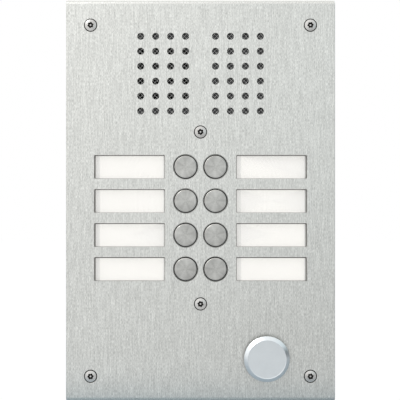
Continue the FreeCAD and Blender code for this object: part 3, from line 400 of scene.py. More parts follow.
@dataclass(frozen=True)
class Finish:
    """One surface finish, from which its material is made once.

    The pattern's tone runs the colour from dark to light and the roughness over its range.
    """

    name: str
    dark: Colour
    light: Colour
    roughness: tuple[float, float]
    pattern: Pattern
    scale: float
    bump: float = 0.1
    bump_depth: float = 0.02 * MM
    metallic: float = 0.0
    specular: float = 0.5
    coat: float = 0.0
    alpha: float = 1.0
    # Emission strength: painted light, since no finish here is a lamp.
    painted_glow: float = 0.0
    dust: float = 0.06
    uv_map: str = ""

    def material(self) -> bpy.types.Material:
        """The finish's material, built the first time it is asked for."""
        ready = bpy.data.materials.get(self.name)
        return ready or self.build()

    def build(self) -> bpy.types.Material:
        """Build the material's nodes.

        Returns:
            The new material.
        """
        made = bpy.data.materials.new(self.name)
        builder = TreeBuilder.cleared(made)
        place = self.coordinates(builder)
        pattern = builder.node("ShaderNodeGroup", node_tree=pattern_group(self.pattern))
        builder.feed(pattern.inputs["Vector"], place)
        builder.feed(pattern.inputs["Scale"], self.scale)
        marks = builder.node("ShaderNodeGroup", node_tree=handling_group())
        builder.feed(marks.inputs["Vector"], place)
        tone = pattern.outputs["Tone"]
        clean = builder.blended(tone, (*self.dark, 1.0), (*self.light, 1.0))
        dusty = builder.times(marks.outputs["Dust"], self.dust)
        rough = builder.ranged(tone, (0.0, 1.0), self.roughness)
        greasy = builder.times(marks.outputs["Smudge"], SMUDGE_ROUGHNESS)
        bump = builder.first("ShaderNodeBump", {"Strength": self.bump, "Distance": self.bump_depth,
                                                "Height": pattern.outputs["Height"]})
        # Emission here is painted glow, set only on the name cards and the diffusers.
        shader = builder.first("ShaderNodeBsdfPrincipled", {
            "Base Color": builder.blended(dusty, clean, DUST_COLOUR),
            "Roughness": builder.plus(rough, greasy), "Metallic": self.metallic,
            "Specular IOR Level": self.specular, "Coat Weight": self.coat,
            "Coat Roughness": COAT_ROUGHNESS, "Alpha": self.alpha, "Emission Color": PAINTED_GLOW_COLOUR,
            "Emission Strength": self.painted_glow, "Normal": bump})
        builder.node("ShaderNodeOutputMaterial", {"Surface": shader})
        return made

    def coordinates(self, builder: TreeBuilder) -> Socket:
        """Where the pattern is read.

        Args:
            builder: The material's tree.

        Returns:
            Object coordinates, or the place from the centre held in the piece's own UV map.
        """
        if not self.uv_map:
            return builder.node("ShaderNodeTexCoord").outputs["Object"]
        stored = builder.first("ShaderNodeUVMap", uv_map=self.uv_map)
        return builder.first("ShaderNodeMapping", {
            "Vector": stored, "Location": (-TURNED_SPAN / 2, -TURNED_SPAN / 2, 0.0),
            "Scale": (TURNED_SPAN, TURNED_SPAN, 1.0)})


BRUSHED_PLATE = Finish("brushed_plate", (0.40, 0.40, 0.381), (0.765, 0.765, 0.732), (0.36, 0.46),
                       Pattern.BRUSHED, 4200.0, bump=0.35, metallic=1.0, dust=0.03)
# Turned button steel: its tone runs through real lathe rings and painted wedges of highlight and shade.
TURNED_STEEL = Finish("turned_button_steel", (0.25, 0.246, 0.232), (0.60, 0.594, 0.567), (0.24, 0.4),
                      Pattern.TURNED, 2100.0, bump=1.0, metallic=1.0, uv_map=TURNED_MAP)
POLISHED_SCREW = Finish("polished_screw_steel", (0.30, 0.29, 0.275), (0.74, 0.73, 0.71), (0.2, 0.32),
                        Pattern.ROLLED, 900.0, metallic=1.0)
WIRE_STEEL = Finish("wire_cloth_steel", (0.42, 0.41, 0.40), (0.60, 0.59, 0.58), (0.28, 0.4),
                    Pattern.ROLLED, 1600.0, metallic=1.0)
# The anodised cap's turned pattern also carries faint painted wedges of highlight and shade.
ANODISED_CAP = Finish("anodised_satin_cap", (0.635, 0.665, 0.68), (0.68, 0.71, 0.725), (0.30, 0.36),
                      Pattern.TURNED, 900.0, bump=0.06, metallic=1.0, uv_map=TURNED_MAP)
# Painted shade: near-black steel put in the screw recesses, the grooves round the screw heads and the gaps
# round the call buttons, where shade falls.
RECESS_SHADE = Finish("recess_painted_shade", (0.012, 0.011, 0.01), (0.05, 0.047, 0.043), (0.5, 0.7),
                      Pattern.MOULDED, 2400.0, metallic=0.6)
# Painted shade: dark bands round the clear covers, where the openings' walls throw shade.
COVER_EDGE_SHADE = Finish("cover_edge_painted_shade", (0.07, 0.067, 0.062), (0.13, 0.125, 0.115), (0.3, 0.45),
                     Pattern.MOULDED, 1500.0, bump=0.05)
NICKEL = Finish("nickel_plating", (0.42, 0.41, 0.38), (0.55, 0.54, 0.5), (0.2, 0.34), Pattern.ROLLED,
                700.0, metallic=1.0)
ZINC = Finish("bright_zinc", (0.42, 0.45, 0.47), (0.58, 0.6, 0.6), (0.25, 0.42), Pattern.ROLLED, 600.0,
              metallic=1.0)
SPRING_STEEL = Finish("spring_steel", (0.2, 0.2, 0.2), (0.34, 0.33, 0.32), (0.3, 0.45), Pattern.ROLLED,
                      900.0, metallic=1.0)
GALVANISED = Finish("galvanised_sheet", (0.36, 0.38, 0.40), (0.56, 0.58, 0.59), (0.38, 0.56),
                    Pattern.SPANGLED, 120.0, bump=0.08, metallic=0.9, dust=0.12)
BLACK_RUBBER = Finish("black_rubber", (0.016, 0.016, 0.017), (0.035, 0.035, 0.036), (0.6, 0.78),
                      Pattern.MOULDED, 2600.0, bump=0.3, specular=0.35, dust=0.12)
BLACK_PLASTIC = Finish("black_moulding", (0.02, 0.02, 0.022), (0.04, 0.04, 0.043), (0.42, 0.58),
                       Pattern.MOULDED, 3200.0, bump=0.25)
# White card: the glow is painted light that lifts the cards evenly and washes out the shade in the recessed
# windows.
CARD_STOCK = Finish("white_card_stock", (0.47, 0.465, 0.455), (0.50, 0.495, 0.485), (0.7, 0.85),
                    Pattern.FIBRE, 1500.0, bump=0.05, painted_glow=0.56, dust=0.0)
CLEAR_COVER = Finish("clear_cover", (0.92, 0.92, 0.915), (0.95, 0.95, 0.94), (0.05, 0.08),
                     Pattern.MOULDED, 1200.0, bump=0.01, alpha=0.1, dust=0.0)
# Opal diffuser: the glow is painted light that brightens the strips beside the cards where they lie in
# shade.
OPAL_PLASTIC = Finish("opal_diffuser", (0.50, 0.50, 0.49), (0.56, 0.56, 0.55), (0.35, 0.5),
                      Pattern.MOULDED, 1800.0, bump=0.1, painted_glow=0.5, dust=0.0)
BOARD_GREEN = Finish("board_green", (0.012, 0.09, 0.035), (0.025, 0.14, 0.06), (0.3, 0.42),
                     Pattern.MOULDED, 1400.0, bump=0.12, coat=0.4)
LED_WHITE = Finish("led_body", (0.70, 0.68, 0.55), (0.82, 0.8, 0.68), (0.3, 0.45), Pattern.MOULDED,
                   1800.0)
SILICONE = Finish("grey_silicone", (0.30, 0.31, 0.32), (0.40, 0.41, 0.42), (0.5, 0.65),
                  Pattern.MOULDED, 1800.0, bump=0.2)
CONE_PAPER = Finish("cone_paper", (0.03, 0.028, 0.026), (0.07, 0.066, 0.06), (0.8, 0.92),
                    Pattern.FIBRE, 1800.0, bump=0.5)
FERRITE = Finish("ferrite", (0.04, 0.04, 0.042), (0.09, 0.088, 0.086), (0.5, 0.7), Pattern.MOULDED,
                 1500.0, bump=0.4)
BRIGHT_CAN = Finish("drawn_aluminium", (0.55, 0.56, 0.57), (0.72, 0.73, 0.74), (0.22, 0.36),
                    Pattern.ROLLED, 800.0, metallic=1.0)
GREEN_PLASTIC = Finish("terminal_green", (0.02, 0.2, 0.07), (0.04, 0.28, 0.1), (0.38, 0.5),
                       Pattern.MOULDED, 2000.0, bump=0.15)
SLEEVE_BLUE = Finish("capacitor_sleeve", (0.012, 0.02, 0.07), (0.03, 0.04, 0.12), (0.25, 0.35),
                     Pattern.MOULDED, 900.0, coat=0.5)
TRIMMER_BLUE = Finish("trimmer_blue", (0.02, 0.1, 0.4), (0.04, 0.16, 0.52), (0.35, 0.5),
                      Pattern.MOULDED, 2200.0)
HEADER_IVORY = Finish("header_ivory", (0.52, 0.49, 0.4), (0.64, 0.61, 0.51), (0.4, 0.55),
                      Pattern.MOULDED, 2200.0)
RIBBON_GREY = Finish("ribbon_grey", (0.22, 0.22, 0.22), (0.36, 0.36, 0.36), (0.5, 0.62),
                     Pattern.BRUSHED, 900.0, bump=0.4)
STRIP_BROWN = Finish("strip_board", (0.16, 0.08, 0.03), (0.26, 0.14, 0.06), (0.5, 0.65),
                     Pattern.FIBRE, 1500.0, bump=0.2)
LEAD_RED = Finish("lead_insulation", (0.28, 0.02, 0.015), (0.42, 0.04, 0.03), (0.4, 0.52),
                  Pattern.MOULDED, 1500.0, bump=0.15)
RELAY_BLUE = Finish("relay_case", (0.02, 0.05, 0.11), (0.03, 0.08, 0.16), (0.35, 0.45),
                    Pattern.MOULDED, 2200.0)
CHIP_BLACK = Finish("chip_resin", (0.018, 0.018, 0.018), (0.04, 0.04, 0.04), (0.5, 0.65),
                    Pattern.MOULDED, 4000.0, bump=0.3)


# ---- meshes --------------------------------------------------------------------------------------
def new_object(name: str, data: bpy.types.ID) -> Piece:
    """A new object in the scene, at the origin.

    Args:
        name: Its name.
        data: The mesh, lamp or camera that it holds.

    Returns:
        The object.
    """
    made = bpy.data.objects.new(name, data)
    bpy.context.scene.collection.objects.link(made)
    return made


def plain_mesh(name: str, form: Form) -> bpy.types.Mesh:
    """Turn a form into a mesh.

    Args:
        name: The mesh's name.
        form: The form, which is freed.

    Returns:
        The mesh.
    """
    mesh = bpy.data.meshes.new(name)
    form.to_mesh(mesh)
    form.free()
    return mesh


def turned_piece(name: str, outline: Outline, segments: int, finishes: Sequence[Finish],
                 inner: Collection[int] = ()) -> Piece:
    """A closed turned solid about the Y line through the origin.

    Args:
        name: The piece's name.
        outline: (radius, y) points from the front centre to the back centre.
        segments: How many sides it has round its axis.
        finishes: What it is dressed in; the second is for the inner bands.
        inner: Which of the bands between the outline's points take the second finish.

    Returns:
        The piece, smooth shaded, with its place from the axis in a UV map.
    """
    form = bmesh.new()
    rings = []
    for radius, y in outline:
        if radius <= 0.0:
            rings.append([form.verts.new((0.0, y, 0.0))])
            continue
        turn = [2 * math.pi * step / segments for step in range(segments)]
        rings.append([form.verts.new((radius * math.cos(a), y, radius * math.sin(a))) for a in turn])
    bridge_rings(form, rings, inner)
    return finished_piece(name, form, finishes)


def bridge_rings(form: Form, rings: Sequence[Ring], inner: Collection[int] = ()) -> None:
    """Join each ring of vertices to the next.

    Args:
        form: The form being built.
        rings: The rings in order; a ring of one vertex is a closed tip.
        inner: Which of the bands between them take the second material.
    """
    for band, (first, second) in enumerate(zip(rings, rings[1:])):
        count = max(len(first), len(second))
        for step in range(count):
            after = (step + 1) % count
            corners = [first[step % len(first)], first[after % len(first)],
                       second[after % len(second)], second[step % len(second)]]
            unique = list(dict.fromkeys(corners))
            if len(unique) > 2:
                form.faces.new(unique).material_index = int(band in inner)


def finished_piece(name: str, form: Form, finishes: Sequence[Finish],
                   crease: float = math.radians(32)) -> Piece:
    """Make a piece from a form, with outward faces, sharp edges marked and a turned-face UV map.

    Args:
        name: The piece's name.
        form: The form, which is freed.
        finishes: What it is dressed in, by the faces' material number.
        crease: The angle above which an edge stays sharp.

    Returns:
        The piece.
    """
    bmesh.ops.recalc_face_normals(form, faces=form.faces)
    layer = form.loops.layers.uv.new(TURNED_MAP)
    for face in form.faces:
        face.smooth = True
        for corner in face.loops:
            corner[layer].uv = (corner.vert.co.x / TURNED_SPAN + 0.5, corner.vert.co.z / TURNED_SPAN + 0.5)
    for edge in form.edges:
        edge.smooth = len(edge.link_faces) == 2 and edge.calc_face_angle(0.0) < crease
    mesh = plain_mesh(name, form)
    for finish in finishes:
        mesh.materials.append(finish.material())
    return new_object(name, mesh)


def rounded(outline: Outline, corner: int, radius: float, steps: int = 4) -> list[tuple[float, float]]:
    """The outline with one of its corners rounded.

    Args:
        outline: (radius, y) points.
        corner: Which point is rounded.
        radius: How far along each side the rounding starts.
        steps: How many points it takes.

    Returns:
        A new list of points.
    """
    before, point, after = (Vector(outline[corner + step]) for step in (-1, 0, 1))
    start = point + (before - point).normalized() * radius
    end = point + (after - point).normalized() * radius
    curve = []
    for step in range(steps + 1):
        share = step / steps
        place = start * (1 - share) ** 2 + point * 2 * share * (1 - share) + end * share ** 2
        curve.append((place.x, place.y))
    return [*outline[:corner], *curve, *outline[corner + 1:]]


def rounded_corners(outline: Outline, corners: dict[int, float]) -> list[tuple[float, float]]:
    """The outline with several of its corners rounded.

    Args:
        outline: (radius, y) points.
        corners: How far each rounding reaches, by its point's number.

    Returns:
        A new list of points.
    """
    for corner in sorted(corners, reverse=True):
        outline = rounded(outline, corner, corners[corner])
    return list(outline)


# ---- geometry node trees -------------------------------------------------------------------------
def run_tree(name: str, tree: Tree, values: dict[str, object]) -> Piece:
    """Make a piece from a Geometry Nodes tree.

    Args:
        name: The piece's name.
        tree: The tree.
        values: The tree's named inputs.

    Returns:
        An object at the origin with a plain mesh and no modifier.
    """
    holder = new_object(name, bpy.data.meshes.new(name))
    modifier = holder.modifiers.new(tree.name, "NODES")
    modifier.node_group = tree
    for item in tree.interface.items_tree:
        if item.in_out == "INPUT" and item.name in values:
            modifier[item.identifier] = values[item.name]
    graph = bpy.context.evaluated_depsgraph_get()
    mesh = bpy.data.meshes.new_from_object(holder.evaluated_get(graph))
    holder.modifiers.clear()
    holder.data = mesh
    return holder


def copies_tree() -> Tree:
    """Copies of a template on an upright grid, each turned about Y; built the first time it is asked for.

    Returns:
        A tree with Template, Columns, Rows, Spacing X, Spacing Z, Centre, Turn, Seed and Finish.
    """
    ready = bpy.data.node_groups.get("copies_on_a_grid")
    if ready:
        return ready
    builder = TreeBuilder.group("copies_on_a_grid", "GeometryNodeTree")
    template = builder.takes("Template", "NodeSocketObject")
    columns, rows = (builder.takes(name, "NodeSocketInt") for name in ("Columns", "Rows"))
    spacing_x, spacing_z = builder.takes("Spacing X"), builder.takes("Spacing Z")
    centre = builder.takes("Centre", "NodeSocketVector")
    turn = builder.takes("Turn")
    seed = builder.takes("Seed", "NodeSocketInt")
    finish = builder.takes("Finish", "NodeSocketMaterial")
    width = builder.times(spacing_x, builder.minus(columns, 1.0))
    height = builder.times(spacing_z, builder.minus(rows, 1.0))
    grid = builder.first("GeometryNodeMeshGrid", {"Size X": width, "Size Y": height,
                                                  "Vertices X": columns, "Vertices Y": rows})
    upright = builder.first("GeometryNodeTransform", {"Geometry": grid, "Translation": centre,
                                                      "Rotation": UPRIGHT})
    points = builder.first("GeometryNodeMeshToPoints", {"Mesh": upright})
    shape = builder.node("GeometryNodeObjectInfo", {"Object": template}).outputs["Geometry"]
    angle = builder.node("FunctionNodeRandomValue", {"Min": 0.0, "Max": turn, "Seed": seed},
                         data_type="FLOAT").outputs["Value"]
    turned = builder.first("ShaderNodeCombineXYZ", {"Y": angle})
    placed = builder.first("GeometryNodeInstanceOnPoints", {"Points": points, "Instance": shape,
                                                            "Rotation": turned})
    builder.exit_dressed(placed, finish)
    return builder.tree


def set_copies(name: str, template: Piece, finish: Finish, centre: Vector, **more: object) -> Piece:
    """Set out copies of a template.

    Args:
        name: The new piece's name.
        template: What is copied.
        finish: What its first material becomes.
        centre: The middle of the grid, or the place of the only copy.
        more: Other inputs of the tree, with spaces as underscores.

    Returns:
        The copies as one piece.
    """
    values = {"Template": template, "Columns": 1, "Rows": 1, "Spacing X": 0.0, "Spacing Z": 0.0,
              "Centre": centre, "Turn": 0.0, "Seed": 0, "Finish": finish.material()}
    values |= {key.replace("_", " "): value for key, value in more.items()}
    return run_tree(name, copies_tree(), values)


class ClothTree(TreeBuilder):
    """The tree of a plain-woven wire cloth at 45 degrees, standing upright."""

    shortest_wire: float = 0.1 * MM
    steps_per_pitch: int = 4

    def build(self) -> Tree:
        """Add the inputs and both families of wires.

        Returns:
            A tree with Width, Height, Pitch, Crimp, Wire, Flatness, Centre and Finish inputs.
        """
        names = ("Width", "Height", "Pitch", "Crimp", "Wire", "Flatness")
        self.sizes = {name: self.takes(name) for name in names}
        centre = self.takes("Centre", "NodeSocketVector")
        finish = self.takes("Finish", "NodeSocketMaterial")
        both = self.node("GeometryNodeJoinGeometry")
        for slope in (1.0, -1.0):
            self.feed(both.inputs[0], self.wires(slope))
        upright = self.first("GeometryNodeTransform", {"Geometry": both.outputs[0], "Translation": centre,
                                                       "Rotation": UPRIGHT})
        self.exit_dressed(upright, finish)
        return self.tree

    def wires(self, slope: float) -> Socket:
        """One family of crimped wires, cut to the cloth's rectangle.

        Args:
            slope: 1 for wires that rise to the right, -1 for wires that fall.

        Returns:
            The wires as a mesh, lying in the XY plane.
        """
        width, height, pitch = self.sizes["Width"], self.sizes["Height"], self.sizes["Pitch"]
        step = self.times(pitch, math.sqrt(2))
        reach = self.times(self.plus(width, height), 0.5)
        side_count = self.maths("FLOOR", self.maths("DIVIDE", reach, step))
        count = self.plus(self.times(side_count, 2.0), 1.0)
        offset = self.times(self.minus(self.first("GeometryNodeInputIndex"), side_count), step)
        half_width, half_height = self.times(width, 0.5), self.times(height, 0.5)
        low = self.maths("MAXIMUM", self.times(half_width, -1.0), self.minus(offset, half_height))
        high = self.maths("MINIMUM", half_width, self.plus(offset, half_height))
        rise = self.times(self.minus(low, offset), slope)
        start = self.first("ShaderNodeCombineXYZ", {"X": low, "Y": rise})
        length = self.maths("MAXIMUM", self.minus(high, low), self.shortest_wire)
        points = self.first("GeometryNodePoints", {"Count": count, "Position": start})
        line = self.first("GeometryNodeCurvePrimitiveLine", {"End": (1.0, slope, 0.0)})
        stretch = self.first("ShaderNodeCombineXYZ", {"X": length, "Y": length, "Z": 1.0})
        lines = self.first("GeometryNodeInstanceOnPoints", {"Points": points, "Instance": line,
                                                            "Scale": stretch})
        real = self.first("GeometryNodeRealizeInstances", {0: lines})
        spacing = self.times(pitch, 1.0 / self.steps_per_pitch)
        fine = self.first("GeometryNodeResampleCurve", {"Curve": real, "Length": spacing}, mode="LENGTH")
        bent = self.first("GeometryNodeSetPosition", {"Geometry": fine, "Offset": self.crimp(slope)})
        section = self.first("GeometryNodeCurvePrimitiveCircle", {"Resolution": 6,
                                                                  "Radius": self.sizes["Wire"]})
        flat = self.first("ShaderNodeCombineXYZ", {"X": self.sizes["Flatness"], "Y": 1.0, "Z": 1.0})
        strand = self.first("GeometryNodeTransform", {"Geometry": section, "Scale": flat})
        level = self.first("GeometryNodeSetCurveNormal", {"Curve": bent}, mode="Z_UP")
        return self.first("GeometryNodeCurveToMesh", {"Curve": level, "Profile Curve": strand,
                                                      "Fill Caps": True})

    def crimp(self, side: float) -> Socket:
        """How far a wire stands out of the cloth's middle plane, over and under its neighbours.

        Args:
            side: 1 for one family of wires and -1 for the other.

        Returns:
            An offset vector.
        """
        place = self.node("ShaderNodeSeparateXYZ", {0: self.first("GeometryNodeInputPosition")}).outputs
        turn = self.maths("DIVIDE", math.pi / math.sqrt(2), self.sizes["Pitch"])
        along = self.times(self.plus(place[0], place[1]), turn)
        across = self.times(self.minus(place[0], place[1]), turn)
        wave = self.times(self.maths("COSINE", along), self.maths("COSINE", across))
        height = self.times(self.times(wave, self.sizes["Crimp"]), side)
        return self.first("ShaderNodeCombineXYZ", {"Z": height})


# ---- sub-assemblies ------------------------------------------------------------------------------
def add_piece(piece: Piece, body: str, slot: str, *nodes: str) -> Piece:
    """Ride a new piece on its body in place of frame nodes, and report it.

    Args:
        piece: The piece.
        body: The body that it moves with.
        slot: The material slot that it counts as; not used.
        nodes: The frame nodes that it stands for.

    Returns:
        The same piece.
    """
    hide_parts(*nodes)
    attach(piece, body)
    LOG.info("%s rides on %s", piece.name, body)
    return piece


def front_centre(node: str) -> Vector:
    """Middle of the front of a frame piece."""
    low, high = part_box(node)
    return Vector(((low.x + high.x) / 2, low.y, (low.z + high.z) / 2))


def joined_piece(name: str, parts: Sequence[Piece]) -> Piece:
    """Join several plain pieces that share a material.

    Args:
        name: The new piece's name.
        parts: The pieces, which are removed.

    Returns:
        The new piece.
    """
    form = bmesh.new()
    for part in parts:
        form.from_mesh(part.data)
    mesh = plain_mesh(name, form)
    mesh.materials.append(parts[0].data.materials[0])
    for part in parts:
        bpy.data.objects.remove(part)
    return new_object(name, mesh)


@dataclass
class SpeechGrilles:
    """The wire cloth behind the two blocks of sound holes."""

    pitch: float = 2.0 * MM
    strand_half_width: float = 0.36 * MM
    flatness: float = 0.36
    inside: float = 1.05
    inner_edge: float = 5.0 * MM
    finish: Finish = WIRE_STEEL

    def build(self) -> Piece:
        """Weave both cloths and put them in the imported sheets' place.

        Returns:
            The cloths as one piece.
        """
        low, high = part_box("grille_meshes")
        width = high.x - self.inner_edge
        middle_y, middle_z = (low.y + high.y) / 2, (low.z + high.z) / 2
        values = {"Width": width - 2 * self.strand_half_width,
                  "Height": high.z - low.z - 2 * self.strand_half_width, "Pitch": self.pitch,
                  "Crimp": (high.y - low.y) / 2 - self.strand_half_width * self.flatness * self.inside,
                  "Wire": self.strand_half_width, "Flatness": self.flatness,
                  "Finish": self.finish.material()}
        tree = ClothTree.group("wire_cloth", "GeometryNodeTree").build()
        cloths = []
        for side in (-1, 1):
            centre = (side * (self.inner_edge + width / 2), middle_y, middle_z)
            cloths.append(run_tree("wire_cloth_side", tree, {**values, "Centre": centre}))
        return add_piece(joined_piece("wire_cloths", cloths), PANEL, "mesh_steel", "grille_meshes")


@dataclass
class PlateScrews:
    """Raised countersunk security screws with a lobed recess round a centre pin; the recess and a groove
    round the rim carry painted shade.
    """

    head_radius: float = 4.4 * MM
    rim_radius: float = 3.8 * MM
    dome: float = 0.8 * MM
    shank_radius: float = 2.0 * MM
    lobe_outer: float = 2.0 * MM
    lobe_inner: float = 1.55 * MM
    lobes: int = 6
    recess: float = 1.6 * MM
    mouth_bevel: float = 0.14 * MM
    mouth_depth: float = 0.2 * MM
    pin_radius: float = 0.6 * MM
    pin_bevel: float = 0.12 * MM
    dome_rings: tuple[float, ...] = (0.6, 0.75, 0.88, 1.0)
    rim_groove: float = 0.3 * MM
    groove_start: float = 0.06 * MM
    edge_drop: float = 0.02 * MM
    edge_bevel: float = 0.05 * MM
    edge_land: float = 0.08 * MM
    thread_start: float = 2.6 * MM
    thread_end: float = 0.4 * MM
    thread_pitch: float = 0.7 * MM
    thread_depth: float = 0.25 * MM
    tip_bevel: float = 0.4 * MM
    segments: int = 48
    crease: float = math.radians(38)
    # Bands in painted shade: the pin's side, the recess's floor, walls and mouth, and the groove round the
    # rim.
    shaded_bands: tuple[int, ...] = (2, 3, 4, 5, 10, 11, 12)
    finish: Finish = POLISHED_SCREW
    recess_shade_finish: Finish = RECESS_SHADE

    def dome_y(self, radius: float) -> float:
        """Height of the dome's surface above the plate at a distance from its middle, towards -Y."""
        sphere = (self.head_radius ** 2 + self.dome ** 2) / (2 * self.dome)
        return -(math.sqrt(sphere ** 2 - radius ** 2) - (sphere - self.dome))

    def ring(self, form: Form, radius: Callable[[float], float], y: float | None) -> Ring:
        """One ring of vertices.

        Args:
            form: The form being built.
            radius: The ring's radius at an angle.
            y: Its place along Y, or None where it lies on the dome.

        Returns:
            The vertices in order.
        """
        verts = []
        for step in range(self.segments):
            angle = 2 * math.pi * step / self.segments
            reach = radius(angle)
            level = self.dome_y(reach) if y is None else y
            verts.append(form.verts.new((reach * math.cos(angle), level, reach * math.sin(angle))))
        return verts

    def lobe(self, grow: float) -> Callable[[float], float]:
        """The recess's outline.

        Args:
            grow: How much larger it is made all round.

        Returns:
            A radius for each angle.
        """
        middle = (self.lobe_outer + self.lobe_inner) / 2
        swing = (self.lobe_outer - self.lobe_inner) / 2
        return lambda angle: middle + grow + swing * math.cos(self.lobes * angle)

    def shank(self, length: float) -> list[tuple[float, float]]:
        """The outline of the rim, the countersink and the threaded shank.

        Args:
            length: From the plate's face to the screw's tip.

        Returns:
            (radius, y) points.
        """
        points = [(self.rim_radius + self.groove_start, 0.0),
                  (self.rim_radius + self.rim_groove, self.rim_groove),
                  (self.head_radius, self.edge_drop),
                  (self.head_radius - self.edge_bevel, self.edge_land),
                  (self.shank_radius, self.head_radius - self.shank_radius)]
        for turn in range(int((length - self.thread_start - self.thread_end) / self.thread_pitch)):
            y = self.thread_start + self.thread_pitch * turn
            points += [(self.shank_radius, y),
                       (self.shank_radius - self.thread_depth, y + self.thread_pitch / 2)]
        return [*points, (self.shank_radius - self.tip_bevel, length)]

    def template(self, length: float) -> Piece:
        """One screw at the origin, the plate's face at y 0.

        Args:
            length: From the plate's face to the screw's tip.

        Returns:
            The screw.
        """
        form = bmesh.new()
        top, floor = -self.dome, self.recess - self.dome
        pin = self.pin_radius
        levels = [(lambda angle: pin - self.pin_bevel, top + self.pin_bevel),
                  (lambda angle: pin, top + 2 * self.pin_bevel), (lambda angle: pin, floor),
                  (self.lobe(0.0), floor), (self.lobe(0.0), top + self.mouth_depth),
                  (self.lobe(self.mouth_bevel), None)]
        levels += [(lambda angle, r=share * self.rim_radius: r, None) for share in self.dome_rings]
        levels += [(lambda angle, r=radius: r, y) for radius, y in self.shank(length)]
        rings = [[form.verts.new((0.0, top + self.pin_bevel, 0.0))]]
        rings += [self.ring(form, radius, y) for radius, y in levels]
        rings.append([form.verts.new((0.0, length, 0.0))])
        bridge_rings(form, rings, self.shaded_bands)
        return finished_piece("screw_template", form, [self.finish, self.recess_shade_finish], self.crease)

    def build(self) -> None:
        """Set the corner screws and the centre-line screws in their countersinks."""
        face_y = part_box("face_plate")[0].y
        for name, seed in (("corner_screws", 3), ("module_screws", 8)):
            low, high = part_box(name)
            template = self.template(high.y - face_y)
            centre = Vector(((low.x + high.x) / 2, face_y, (low.z + high.z) / 2))
            across, upright = high.x - low.x - 2 * self.head_radius, high.z - low.z - 2 * self.head_radius
            piece = set_copies(f"{name}_heads", template, self.finish, centre, Rows=2,
                               Columns=2 if across > MM else 1, Spacing_X=max(across, 0.0),
                               Spacing_Z=upright, Turn=2 * math.pi / self.lobes, Seed=seed)
            bpy.data.objects.remove(template)
            add_piece(piece, PANEL, "screw_steel", name)


@dataclass
class CallButtons:
    """The eight turned call buttons, each on its own sprung body, with painted shade on the outer part of
    the chamfer and on the side in the gap.
    """

    count: int = 8
    radius: float = 8.0 * MM
    chamfer: float = 0.9 * MM
    # How far in from the cap's edge the painted shade on the chamfer reaches.
    painted_shade_width: float = 0.55 * MM
    flange_radius: float = 9.1 * MM
    stem_radius: float = 4.0 * MM
    rise: float = 3.0 * MM
    flange_thickness: float = 1.2 * MM
    segments: int = 96
    roundings: dict[int, float] = field(default_factory=lambda: {
        2: 0.2 * MM, 4: 0.12 * MM, 6: 0.1 * MM, 7: 0.1 * MM, 9: 0.3 * MM})
    finish: Finish = TURNED_STEEL
    gap_shade_finish: Finish = RECESS_SHADE

    def template(self, depth: float) -> Piece:
        """One button about the origin, its face at y 0.

        Args:
            depth: From its face to the stem's end.

        Returns:
            The button.
        """
        collar = self.rise + self.flange_thickness
        outline = [(0.0, 0.0), (self.radius * 0.5, 0.0), (self.radius - self.chamfer, 0.0),
                   (self.radius - self.painted_shade_width, self.chamfer - self.painted_shade_width), (self.radius, self.chamfer),
                   (self.radius, self.rise), (self.flange_radius, self.rise), (self.flange_radius, collar),
                   (self.stem_radius, collar), (self.stem_radius, depth), (0.0, depth)]
        soft = rounded_corners(outline, self.roundings)
        # The outer part of the chamfer and the side down to the flange take painted shade, for the dark ring
        # in the gap round the cap.
        shadow_start = self.chamfer - self.painted_shade_width - HAIR
        inner = [band for band, (first, second) in enumerate(zip(soft, soft[1:]))
                 if first[1] >= shadow_start and second[1] <= self.rise]
        finishes = [self.finish, self.gap_shade_finish]
        return turned_piece("button_template", soft, self.segments, finishes, inner)

    def build(self) -> None:
        """Copy the turned cap to each button's centre."""
        low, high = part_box("call_button_1")
        template = self.template(high.y - low.y)
        for number in range(1, self.count + 1):
            node = f"call_button_{number}"
            piece = set_copies(f"button_cap_{number}", template, self.finish, front_centre(node),
                               Turn=2 * math.pi, Seed=number)
            add_piece(piece, node, "button_steel", node)
        bpy.data.objects.remove(template)


